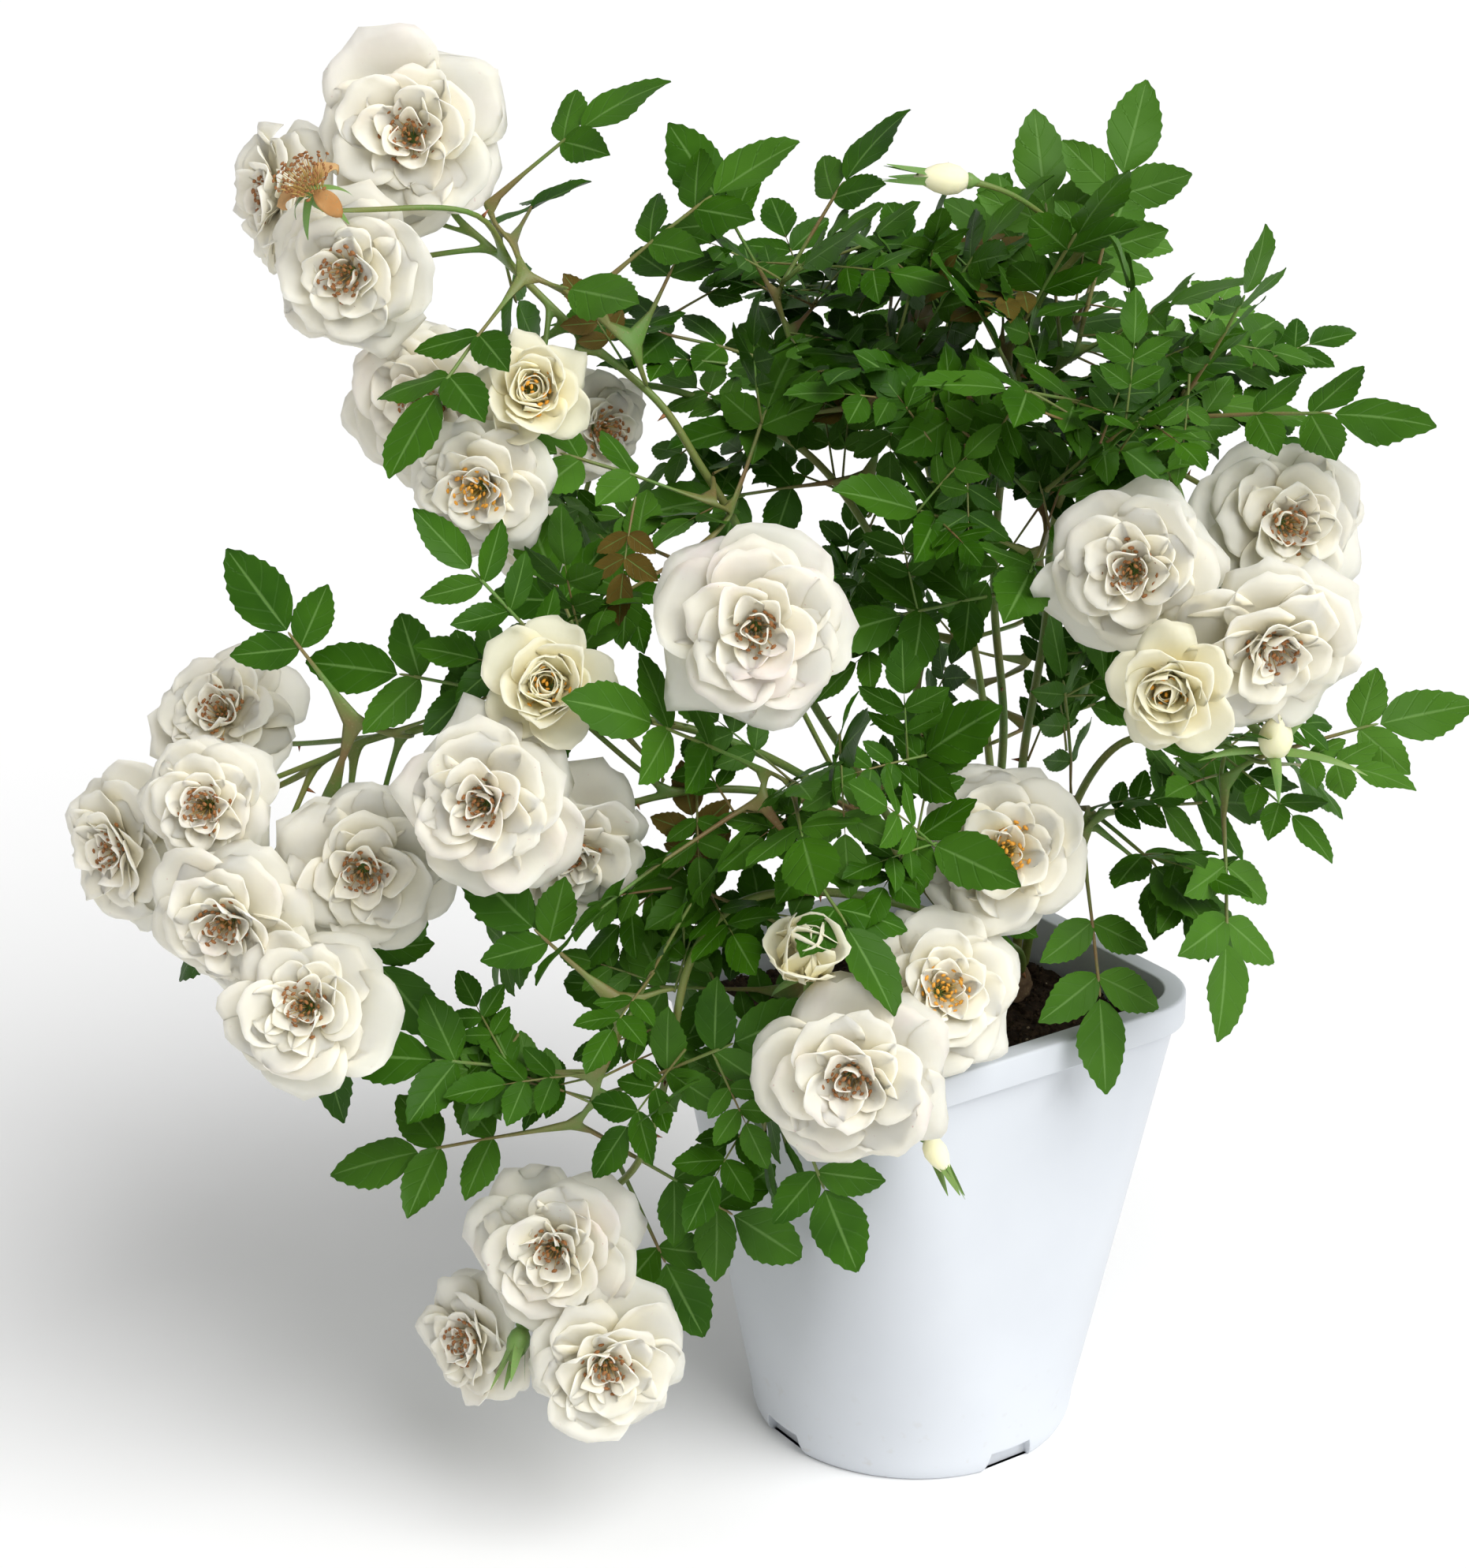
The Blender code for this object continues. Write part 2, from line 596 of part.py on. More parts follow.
def build_soil():
    gap = POT_WALL + SOIL_SHRINK
    count = RING // 2
    shelf = foot_shelf()
    inside = FOOT_SOLID + 3 * CLEARANCE
    rings = [outline(*side_at(0, inside), POT_FLOOR + CLEARANCE, count),
             outline(*side_at(0, inside), shelf + CLEARANCE, count),
             outline(*side_at(shelf, gap), shelf + CLEARANCE, count)]
    for share in (0.33, 0.66, 1.0):
        z = shelf + (ledge_height() - shelf) * share
        rings.append(outline(*side_at(z, gap), z, count))
    wall_half, wall_corner = side_at(SOIL_LEVEL, gap + RIM_WIDTH - RIM_OVERHANG)
    rings.append(outline(wall_half, wall_corner, SOIL_LEVEL, count))
    for share in (0.8, 0.55, 0.3):
        ring = outline(wall_half * share, wall_corner * share, 0, count)
        rings.append([Vector((p.x, p.y, soil_height(p.x, p.y))) for p in ring])
    bm = bmesh.new()
    loops = loft(bm, rings, cap_last=False)
    middle = bm.verts.new((0, 0, soil_height(0, 0)))
    last = loops[-1]
    for k in range(count):
        bm.faces.new((last[k], last[(k + 1) % count], middle))
    return add_object("soil", bm, "soil")


# ------------------------------------------------------------------- plant
def build_crown():
    centre = spot(CROWN_PLACE)
    base = SOIL_LEVEL + CLEARANCE
    count = 10
    rings = []
    for share, height in ((1.0, 0.0), (0.96, 0.55), (0.9, 1.0)):
        ring = []
        for k in range(count):
            angle = math.tau * k / count
            knob = 1 - 0.07 * (k % 2)
            reach = CROWN_RADIUS * share * knob
            ring.append(Vector((centre.x + reach * math.cos(angle),
                                centre.y + reach * math.sin(angle),
                                base + CROWN_HEIGHT * height)))
        rings.append(ring)
    bm = bmesh.new()
    loft(bm, rings)
    return add_object("crown", bm, "bark")


def cane_starts():
    """Each cane's foot on the crown, spread round it in the order they lean."""
    crown = spot(CROWN_PLACE)
    leans = {}
    for name, points in CANES.items():
        lean = spot(points[0]) - crown
        leans[name] = math.atan2(lean.y, lean.x)
    order = sorted(leans, key=leans.get)
    starts = {}
    reach = CROWN_RADIUS * 0.9 - CANE_RADIUS - 0.0006
    for k, name in enumerate(order):
        angle = leans[order[0]] + math.tau * k / len(order)
        starts[name] = Vector((crown.x + reach * math.cos(angle),
                               crown.y + reach * math.sin(angle),
                               SOIL_LEVEL + CROWN_HEIGHT + 2 * CLEARANCE))
    return starts


def bloom_profile(width, form):
    """Half profile from the hip to the middle: (radius, height, star share)."""
    r = width / 2
    if form == "open":
        return [(0.0016, -0.025, 0), (0.0036, -0.019, 0), (0.34 * r, -0.011, 0),
                (r, -0.003, 1), (0.66 * r, 0.006, 0.3), (0.2 * r, 0.002, 0)]
    if form == "cup":
        return [(0.0016, -0.027, 0), (0.0036, -0.021, 0), (0.42 * r, -0.012, 0),
                (r, 0.002, 1), (0.6 * r, 0.009, 0.3), (0.25 * r, 0.005, 0)]
    if form == "bud":
        long = max(width, 0.020)
        return [(0.0016, -0.9 * long, 0), (0.0036, -0.68 * long, 0),
                (0.85 * r, -0.38 * long, 0), (r, -0.05 * long, 0.3),
                (0.55 * r, 0.3 * long, 0.2), (0.15 * r, 0.36 * long, 0)]
    return [(0.0016, -0.018, 0), (0.0036, -0.011, 0), (0.7 * r, -0.004, 0),
            (r, 0.002, 1), (0.5 * r, 0.006, 0), (0.2 * r, 0.004, 0)]


def bloom_mesh(place, look, width, form, swell=0.0):
    """A bloom as one solid; `swell` fattens it for the clearance test."""
    petals = 5
    up = square_to(look, Vector((0, 0, 1)))
    side = up.cross(look)
    rings = []
    for radius, height, star in bloom_profile(width, form):
        ring = []
        for k in range(2 * petals):
            angle = math.tau * k / (2 * petals) + 0.3
            notch = 1 - 0.16 * star * (k % 2)
            reach = radius * notch + swell
            ring.append(place + side * (reach * math.cos(angle))
                        + up * (reach * math.sin(angle)) + look * height)
        rings.append(ring)
    bm = bmesh.new()
    loft(bm, rings)
    return bm


def hip_height(form, width):
    return bloom_profile(width, form)[0][1]


def place_blooms(bench):
    """Builds every bloom, eased forward or back along its facing until it is clear."""
    hips = {}
    for name, (cane, back, place, look, size, form) in BLOOMS.items():
        towards = facing(*look)
        width = BLOOM_WIDTH * size
        home = spot(place)
        for step in sorted(range(-14, 15), key=abs):
            shifted = home + towards * (step * 0.0025)
            test = bloom_mesh(shifted, towards, width, form, AIR)
            clear = not bench.blocked(BVHTree.FromBMesh(test))
            test.free()
            if clear:
                break
        bm = bloom_mesh(shifted, towards, width, form)
        bench.add(bm)
        add_object(name, bm, form)
        hip = shifted + towards * (hip_height(form, width) - CLEARANCE * 1.5)
        hips.setdefault(cane, []).append((back / 1000, hip, towards, 0.0))
    for cane, (place, look, length) in TIP_BUDS.items():
        towards = facing(*look)
        hips.setdefault(cane, []).append((None, spot(place), towards, length / 1000))
    return hips


def pedicel_route(joint, hip, towards, bow):
    """Joint to hip, bowed sideways by `bow`."""
    apart = (hip - joint).length
    sideways = square_to((hip - joint).normalized(), Vector((bow[0], 0.2, bow[1])))
    shift = sideways * (apart * math.hypot(*bow))
    leave = joint + (hip - joint) * 0.3 + shift
    arrive = hip - towards * (0.35 * apart) + shift * 0.5
    return bezier(joint, leave, arrive, hip, 4)


BOWS = [(0, 0), (0.2, 0), (-0.2, 0), (0, 0.2), (0, -0.2), (0.35, 0.2), (-0.35, 0.2),
        (0.35, -0.25), (-0.35, -0.25), (0.6, 0), (-0.6, 0), (0, 0.6), (0, -0.6),
        (0.7, 0.5), (-0.7, 0.5), (0.7, -0.5), (-0.7, -0.5)]


def grow_pedicel(grown, loop, route, along, bud, swell=0.0):
    """Flower stalk, square to `along` at its end, with its bud or hip of length `bud`."""
    radius = PEDICEL_RADIUS + swell
    loop, _ = grown.run(loop, route, [radius] * len(route), Vector((0, 0, 1)), along)
    if bud:
        top = Vector((0, 0, 1))
        for ahead, wide in ((0.3, 0.42), (0.6, 0.42), (1.0, 0.08)):
            wide = wide * bud + 2 * swell
            loop, _ = grown.sleeve(loop, section(route[-1] + along * (ahead * bud), along,
                                                 top, wide, wide))
    grown.cap(loop)


def cane_points(start, points, shift):
    """The cane's smooth route, its middle moved sideways by `shift`."""
    middle = [spot(p) for p in points]
    last = len(middle) - 1
    moved = [p + shift * math.sin(math.pi * (k + 1) / (last + 2))
             for k, p in enumerate(middle[:-1])]
    rise = start + Vector((0, 0, 0.012))
    return [start, *smooth_route([rise, *moved, middle[-1]], 2)]


def with_joints(points, places):
    """The route with a short step at each joint, and the step's number per joint."""
    run = distances(points)
    half = 0.0016
    stops = sorted([(d, None) for d in run]
                   + [(d + e, k if e > 0 else None) for k, d in enumerate(places)
                      for e in (-half, half)], key=lambda stop: stop[0])
    joined = [stops[0][0]]
    step_of = {}
    ends = {d + e for d in places for e in (-half, half)}
    for length, joint in stops[1:]:
        near_joint = any(abs(length - d) < 2.2 * half for d in places)
        if joint is None and length not in ends and near_joint and length < run[-1]:
            continue
        if length - joined[-1] < 1e-5:
            continue
        joined.append(length)
        if joint is not None:
            step_of[joint] = len(joined) - 2
    return [point_at(points, length)[0] for length in joined], joined, step_of


def grow_cane(start, points, shift, bearing, bows, swell=0.0):
    """One cane with its pedicels; `bearing` are its hips, `bows` how each one bends."""
    route = cane_points(start, points, shift)
    whole = distances(route)[-1]
    side = [k for k, (back, *_) in enumerate(bearing) if back != 0]
    places = [whole - (bearing[k][0] if bearing[k][0] else 0.005) for k in side]
    route, lengths, step_of = with_joints(route, places)
    radii = [CANE_RADIUS + (CANE_TIP - CANE_RADIUS) * d / whole + swell for d in lengths]
    grown = Grown()
    top = Vector((0.2, -1, 0.1))
    first = section(route[0], (route[1] - route[0]).normalized(), top,
                    1.8 * radii[0], 1.8 * radii[0])
    loop, walls = grown.run(grown.start(first), route, radii, top)
    ended = False
    for k, (back, hip, towards, bud) in enumerate(bearing):
        if k >= len(bows):
            continue
        if back == 0:
            bent = pedicel_route(route[-1], hip, towards, bows[k])
            grow_pedicel(grown, loop, bent, towards, bud, swell)
            ended = True
            continue
        joint, _ = point_at(route, places[side.index(k)])
        step = step_of[side.index(k)]
        opening = grown.branch(walls[step], (hip - joint).normalized())
        bent = pedicel_route(joint, hip, towards, bows[k])
        from_skin = [p for p in bent[1:] if (p - joint).length > 1.6 * CANE_RADIUS]
        grow_pedicel(grown, opening, [joint, *from_skin], towards, bud, swell)
    if not ended:
        grown.cap(loop)
    return grown


def place_canes(bench, hips):
    """Adds the canes and gives their surfaces."""
    starts = cane_starts()
    placed = len(bench.trees)
    shifts = [Vector((x, y, 0)) * 0.004 for x, y in
              sorted(((x, y) for x in range(-5, 6) for y in range(-5, 6)),
                     key=lambda at: at[0] ** 2 + at[1] ** 2)]
    for name, points in CANES.items():
        bearing = hips.get(name, [])

        def bare(shift, swell):
            return grow_cane(starts[name], points, shift, bearing, [], swell)
        shift = bench.must_fit(name, shifts, bare)
        bows = []
        for _ in bearing:
            def bent(bow, swell):
                return grow_cane(starts[name], points, shift, bearing, [*bows, bow], swell)
            bows.append(bench.must_fit(name, BOWS, bent, AIR / 2))
        grown = grow_cane(starts[name], points, shift, bearing, bows)
        bench.add(grown.bm)
        add_object(name, grown.bm, "cane")
    return bench.trees[placed:]


def leaf_frame(base, reach, turn):
    """Direction, blade normal and length of a leaf for one of LEAF_TURNS."""
    roll, pitch, size = turn
    along = (reach - base).normalized()
    outward = Vector((base.x, base.y, 0))
    light = Vector((0, -0.45, 0.7)) + outward.normalized() * 0.35
    normal = square_to(along, light)
    along = Matrix.Rotation(math.radians(pitch), 3, normal.cross(along)) @ along
    normal = square_to(along, light)
    normal = Matrix.Rotation(math.radians(roll), 3, along) @ normal
    return along, normal, size


def grow_leaflet(grown, loop, base, along, normal, length, shape, swell):
    """Leaflet folded from an open loop: widest before its middle, then its tip."""
    wide = length * shape + 2 * swell
    thick = BLADE + 2 * swell
    middle = base + along * (0.42 * length) + normal * (0.04 * length)
    loop, _ = grown.sleeve(loop, section(middle, along, normal, wide, thick))
    tip = base + along * (length + swell) - normal * (0.05 * length)
    grown.wedge(loop, tip, square_to(along, normal) * (BLADE / 4 + swell))


def grow_leaf(grown, loop, base, reach, leaflets, turn, swell=0.0):
    """Leaf stalk, its pairs of leaflets and its end leaflet."""
    along, normal, size = leaf_frame(base, reach, turn)
    pairs, end, blade_share, shape, (first, more) = LEAF_FORMS[leaflets]
    blade = LEAFLET * size * blade_share
    whole = blade / (1 - end)
    side = normal.cross(along)
    across = PETIOLE + 2 * swell
    half = 0.0014

    def rachis(share):
        return base + along * (share * whole) - normal * (0.10 * whole * share * share)

    for number, share in enumerate(pairs):
        place = rachis(share)
        loop, _ = grown.sleeve(loop, section(place - along * half, along, normal,
                                             across, across))
        loop, walls = grown.sleeve(loop, section(place + along * half, along, normal,
                                                 across, across))
        length = blade * (first + more * number)
        for way in (-1, 1):
            out = (side * way * 0.86 + along * 0.5).normalized()
            opening = grown.branch(walls, side * way)
            grow_leaflet(grown, opening, place, out, normal, length, shape, swell)
    droop = (rachis(1.0) - rachis(end)).normalized()
    loop, _ = grown.sleeve(loop, section(rachis(end), droop, normal, across, across))
    grow_leaflet(grown, loop, rachis(end), droop, square_to(droop, normal), blade, shape,
                 swell)


def twig_route(start, rows, canes, nudge):
    """Square off the nearest cane's bark, then the places where the leaves leave."""
    hits = [cane.find_nearest(spot(start) + nudge) for cane in canes]
    bark, outward, _, _ = min(hits, key=lambda hit: hit[3])
    return [bark + outward * CLEARANCE, bark + outward * TWIG_STAND,
            *[spot(row[0]) + nudge for row in rows]]


def grow_twig(route, swell=0.0):
    """A shoot's twig; gives the solid, and the walls where each leaf leaves it."""
    half = 0.0011
    radius = TWIG_RADIUS + swell
    points = route[:2]
    for k in range(2, len(route)):
        before = (route[k] - route[k - 1]).normalized()
        after = (route[min(k + 1, len(route) - 1)] - route[k]).normalized() or before
        along = (before + after).normalized()
        points.append(route[k] - along * half)
        points.append(route[k] + along * half)
    grown = Grown()
    top = Vector((0.1, -1, 0.3))
    first = section(points[0], (points[1] - points[0]).normalized(), top,
                    1.8 * radius, 1.8 * radius)
    loop, walls = grown.run(grown.start(first), points, [radius] * len(points), top)
    grown.cap(loop)
    return grown, walls[2::2]


def place_shoots(bench, canes):
    nudges = [Vector((x, y, z)) * 0.003 for x, y, z in
              sorted(((x, y, z) for x in range(-4, 5) for y in range(-4, 5)
                      for z in range(-2, 3)), key=lambda a: a[0] ** 2 + a[1] ** 2 + a[2] ** 2)]
    for name, (start, *rows) in SHOOTS.items():
        def moved(nudge, swell):
            return grow_twig(twig_route(start, rows, canes, nudge), swell)[0]
        nudge = bench.must_fit(name, nudges, moved)
        route = twig_route(start, rows, canes, nudge)
        grown, joints = grow_twig(route)
        for k, (_, reach, leaflets) in enumerate(rows):
            base = route[k + 2]

            def leaf(turn, swell):
                along, normal, _ = leaf_frame(base, spot(reach), turn)
                if swell:
                    tested = Grown()
                    seat = section(base + along * 0.004, along, normal, PETIOLE, PETIOLE)
                    loop = tested.start(seat)
                else:
                    tested, walls = grown.copied([w for w in joints[k] if w.is_valid])
                    loop = tested.branch(walls, along)
                grow_leaf(tested, loop, base, spot(reach), leaflets, turn, swell)
                return tested
            turn = bench.first_free(LEAF_TURNS, leaf, also=[grown.tree()])
            if turn is None:  # a leaf with no room isn't grown
                continue
            along, _, _ = leaf_frame(base, spot(reach), turn)
            opening = grown.branch(joints[k], along)
            grow_leaf(grown, opening, base, spot(reach), leaflets, turn)
        bench.add(grown.bm)
        add_object(name, grown.bm, "leaf")


def evaluated_copy(thing):
    bpy.context.view_layer.update()
    seen = thing.evaluated_get(bpy.context.evaluated_depsgraph_get())
    bm = bmesh.new()
    bm.from_mesh(seen.to_mesh())
    seen.to_mesh_clear()
    return bm


def main():
    clear_scene()
    bench = Bench()
    for thing in (build_pot(), build_soil(), build_crown()):
        bench.add(evaluated_copy(thing))
    hips = place_blooms(bench)
    canes = place_canes(bench, hips)
    place_shoots(bench, canes)
    for thing in bpy.context.scene.objects:
        if thing.name == "pot" or thing.name.startswith("bloom"):
            thing.data.shade_smooth()
            thing.data.set_sharp_from_angle(angle=math.radians(35))


main()
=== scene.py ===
"""Looks of the potted rose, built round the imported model.

Metres, +Z up.  Each leaflet, bloom and cane takes its place from its own CAD solid.
"""
import json
import math

import bmesh
import bpy
import numpy as np
from mathutils import Euler, Matrix, Vector, noise

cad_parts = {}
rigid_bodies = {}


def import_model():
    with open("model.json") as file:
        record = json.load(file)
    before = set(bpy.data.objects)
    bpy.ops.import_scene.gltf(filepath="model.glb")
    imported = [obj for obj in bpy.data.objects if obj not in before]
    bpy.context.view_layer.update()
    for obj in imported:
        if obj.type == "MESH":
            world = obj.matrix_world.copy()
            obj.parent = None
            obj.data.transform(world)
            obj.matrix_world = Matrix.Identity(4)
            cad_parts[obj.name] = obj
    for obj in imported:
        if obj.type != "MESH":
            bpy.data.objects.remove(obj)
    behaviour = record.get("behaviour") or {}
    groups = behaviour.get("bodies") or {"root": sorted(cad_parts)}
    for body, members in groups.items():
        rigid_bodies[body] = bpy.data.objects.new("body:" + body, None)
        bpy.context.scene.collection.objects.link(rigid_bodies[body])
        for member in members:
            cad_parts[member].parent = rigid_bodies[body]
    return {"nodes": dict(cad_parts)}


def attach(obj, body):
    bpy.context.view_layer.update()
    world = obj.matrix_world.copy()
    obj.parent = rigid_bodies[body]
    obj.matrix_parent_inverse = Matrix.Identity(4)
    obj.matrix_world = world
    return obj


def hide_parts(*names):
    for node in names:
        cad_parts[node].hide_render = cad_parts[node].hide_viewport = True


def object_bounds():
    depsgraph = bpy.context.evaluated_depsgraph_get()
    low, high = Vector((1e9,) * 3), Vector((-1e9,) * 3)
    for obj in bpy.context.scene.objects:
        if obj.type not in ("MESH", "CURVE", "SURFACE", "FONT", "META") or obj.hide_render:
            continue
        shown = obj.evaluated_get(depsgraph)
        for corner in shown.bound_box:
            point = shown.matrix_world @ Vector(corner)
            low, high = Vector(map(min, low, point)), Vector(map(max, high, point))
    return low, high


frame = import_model()
cad_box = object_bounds()

# ---------------------------------------------------------------- pot sizes
POT_TOP = 0.180
POT_BASE = 0.136
POT_HEIGHT = 0.211
POT_TURN = math.radians(38)
RIM_CORNER = 0.031
RIM_WIDTH = 0.0095
RIM_DEPTH = 0.0136
RIM_OVERHANG = 0.0040
POT_WALL = 0.0018
POT_FLOOR = 0.0040
FOOT_CURVE = 0.012
NOTCH_HEIGHT = 0.010
NOTCH_WIDTH = 0.021
NOTCH_DEPTH = 0.007
DRAIN_HOLE = 0.009
DRAIN_CIRCLE = 0.042
SOIL_LEVEL = 0.190
SOIL_GAP = 0.0030          # soil's edge to the pot's inside
POT_RING = 160             # points round the pot

# -------------------------------------------------------------- plant sizes
BLADE = 0.0010             # thickness of a CAD leaflet, whose tip edge is half of it
LEAF_WIDEST = 0.42         # where a CAD leaflet is widest, as a share of its length
LEAF_CROWN = 0.04          # rise of its middle, as a share of its length
LEAF_DROOP = 0.05          # fall of its tip, as a share of its length
LEAF_ROWS = 18
LEAF_THICK = 0.014         # of a leaflet at its midrib, as a share of its length
PETAL_ROWS = 10
PETAL_COLUMNS = 9
PETAL_THICK = 0.00035
GOLDEN = math.radians(137.508)

# blooms that aren't fully open, and how far back of the middle each form's hip starts
FORMS = {"bloom_upper_2": "cup", "bloom_back_2": "cup", "bloom_middle_1": "cup",
         "bloom_right_4": "cup", "bloom_front_4": "bud", "bloom_top_spent": "spent"}
HIP_BACK = {"open": 0.025, "cup": 0.027, "bud": 0.0309, "spent": 0.018}
# height of a hip's top over the bloom's middle
HIP_TOP = {"open": -0.0115, "cup": -0.0120, "bud": -0.0150, "spent": -0.0060}
# stamens: number, spread over the bloom's radius, length, anther's radius, foot's height
HEARTS = {"open": (46, 0.12, 0.0105, 0.00075, -0.0075),
          "cup": (24, 0.08, 0.0105, 0.00075, -0.0075),
          "spent": (90, 0.42, 0.009, 0.0006, -0.004)}
STAMEN_LEAN = 0.75
# how yellow, and how pink, a bloom's middle is
PLAIN_TINT = (0.25, 0.15)
FRESH_FROM = 0.4           # as yellow as this, its stamens are fresh
TINTS = {"bloom_front_1": (0.95, 0.0), "bloom_front_2": (0.50, 0.0),
         "bloom_front_3": (0.15, 0.50), "bloom_front_4": (0.95, 0.1),
         "bloom_centre": (0.10, 0.65), "bloom_middle_1": (1.0, 0.0),
         "bloom_middle_2": (0.1, 0.45), "bloom_middle_3": (0.25, 0.3),
         "bloom_upper_1": (0.2, 0.3), "bloom_upper_2": (1.0, 0.0),
         "bloom_upper_3": (0.45, 0.0), "bloom_right_4": (0.9, 0.0),
         "bloom_back_2": (0.8, 0.0), "bloom_left_4": (0.1, 0.45),
         "bloom_low_1": (0.2, 0.45), "bloom_top_1": (0.25, 0.3)}
# rings of petals from the outside in: number, length and width over the bloom's radius,
# lift and curl in degrees, cup across, edges rolled back, foot in millimetres
RINGS = {
    "open": [(5, 1.08, 1.22, 14, -34, 0.06, 0.34, -10.5),
             (5, 0.98, 1.08, 24, -34, 0.10, 0.20, -9.5),
             (6, 0.80, 0.84, 34, -30, 0.16, 0.12, -8.5),
             (6, 0.62, 0.60, 45, -26, 0.24, 0.05, -7.5),
             (5, 0.46, 0.40, 56, -14, 0.34, 0.0, -7.0), (3, 0.34, 0.24, 66, 10, 0.40, 0.0, -6.5)],
    "cup": [(5, 1.10, 1.05, 30, -34, 0.10, 0.30, -11), (5, 0.98, 0.98, 48, -14, 0.24, 0.12, -10),
            (6, 0.82, 0.84, 62, 2, 0.34, 0.05, -9.5), (6, 0.66, 0.66, 72, 16, 0.40, 0.0, -9),
            (5, 0.52, 0.50, 80, 22, 0.44, 0.0, -9)],
    "bud": [(4, 1.75, 1.55, 68, -22, 0.26, 0.30, -15), (4, 1.75, 1.45, 80, 20, 0.40, 0.04, -15),
            (4, 1.66, 1.20, 84, 38, 0.46, 0.0, -14.5), (4, 1.60, 0.95, 88, 44, 0.5, 0.0, -14.5)],
    "spent": [(3, 1.15, 0.62, 8, -70, 0.10, 0.3, -5)],
}
# buds and hips at canes' tips: millimetres from the middle of the soil's surface,
# facing (azimuth, elevation), length in millimetres, whether petals show
TIP_BUDS = {
    "closed_bud": ((14, 8, 362), (-80, 6), 24, True),
    "green_hip": ((-160, -122, -88), (-20, -45), 18, False),
    "front_bud": ((4, -142, 14), (40, -40), 18, True),
    "pale_bud": ((138, -72, 150), (0, 60), 26, True),
}
# how pale a shoot's leaflets are, where its leaves are young
PALE_SHOOTS = {"leaves_top_right": 0.55, "leaves_far_right": 0.45, "leaves_at_bend": 0.3,
               "leaves_low_right": 0.35}
PALE = 0.10                # the rest
SMALL_LEAVES = 270         # young compound leaves that fill the bush between the shoots
# where they grow, as (middle, half sizes) from the floor: the bush, and its skirt by the pot
BUSH = [((-0.010, 0.010, 0.385), (0.180, 0.150, 0.135)),
        ((-0.125, -0.090, 0.230), (0.080, 0.070, 0.080))]

# ------------------------------------------------------------ floor and light
FLOOR = 30                 # half its width
SKY = 0.42
SUN = 3.1
SUN_ANGLE = math.radians(50)
SUN_FROM = (48, 46)        # azimuth and elevation
CAMERA = (0, -1.35, 0.815)
CAMERA_PITCH = math.radians(21)
CAMERA_YAW = math.radians(-3.4)
LENS = 78.4                # mm, on a sensor 36 mm wide
SENSOR = 36


# ------------------------------------------------------------------- nodes
def add_node(tree, kind, inputs=None, **settings):
    """A node with its settings and inputs; an input is a value or another node's socket."""
    made = tree.nodes.new(kind)
    for key, value in settings.items():
        setattr(made, key, value)
    for key, value in (inputs or {}).items():
        if isinstance(value, bpy.types.NodeSocket):
            tree.links.new(value, made.inputs[key])
        else:
            made.inputs[key].default_value = value
    return made


def new_group(name, kind, inputs, outputs):
    """A node group with named sockets, and its input and output nodes."""
    group = bpy.data.node_groups.new(name, kind)
    for key, (socket, value) in inputs.items():
        made = group.interface.new_socket(key, in_out="INPUT", socket_type=socket)
        if value is not None:
            made.default_value = value
    for key, socket in outputs.items():
        group.interface.new_socket(key, in_out="OUTPUT", socket_type=socket)
    return group, group.nodes.new("NodeGroupInput"), group.nodes.new("NodeGroupOutput")


def maths(tree, operation, *values):
    """The result of a maths node on values and sockets."""
    return add_node(tree, "ShaderNodeMath", dict(enumerate(values)),
                    operation=operation).outputs[0]


def ranged(tree, value, low, high, to_low=0.0, to_high=1.0):
    """A value taken from one range to another, and held to its ends."""
    return add_node(tree, "ShaderNodeMapRange",
                    {"Value": value, "From Min": low, "From Max": high,
                     "To Min": to_low, "To Max": to_high}).outputs[0]


def random_size(tree, given, low, high):
    """A size for each instance, drawn by the tree's own seed."""
    return add_node(tree, "FunctionNodeRandomValue",
                    {"Min": low, "Max": high, "Seed": given.outputs["Seed"]},
                    data_type="FLOAT").outputs[1]


def end_tree(tree, given, out, instances):
    """Ends a geometry tree: its instances made real and given the finish."""
    real = add_node(tree, "GeometryNodeRealizeInstances", {"Geometry": instances.outputs[0]})
    coated = add_node(tree, "GeometryNodeSetMaterial",
                      {"Geometry": real.outputs[0], "Material": given.outputs["Finish"]})
    tree.links.new(coated.outputs[0], out.inputs[0])
    return tree


def patchy_group():
    """Two colours in soft patches, and the mask between them."""
    group, given, out = new_group(
        "patchy", "ShaderNodeTree",
        {"Vector": ("NodeSocketVector", None), "Scale": ("NodeSocketFloat", 40.0),
         "Detail": ("NodeSocketFloat", 4.0), "Low": ("NodeSocketFloat", 0.35),
         "High": ("NodeSocketFloat", 0.65),
         "First": ("NodeSocketColor", (0.5, 0.5, 0.5, 1)),
         "Second": ("NodeSocketColor", (0.8, 0.8, 0.8, 1))},
        {"Colour": "NodeSocketColor", "Mask": "NodeSocketFloat"})
    cloud = add_node(group, "ShaderNodeTexNoise",
                     {"Vector": given.outputs["Vector"], "Scale": given.outputs["Scale"],
                      "Detail": given.outputs["Detail"]})
    mask = add_node(group, "ShaderNodeMapRange",
                    {"Value": cloud.outputs["Fac"], "From Min": given.outputs["Low"],
                     "From Max": given.outputs["High"]})
    mix = add_node(group, "ShaderNodeMix", {0: mask.outputs[0], 6: given.outputs["First"],
                                            7: given.outputs["Second"]}, data_type="RGBA")
    group.links.new(mix.outputs[2], out.inputs["Colour"])
    group.links.new(mask.outputs[0], out.inputs["Mask"])
    return group


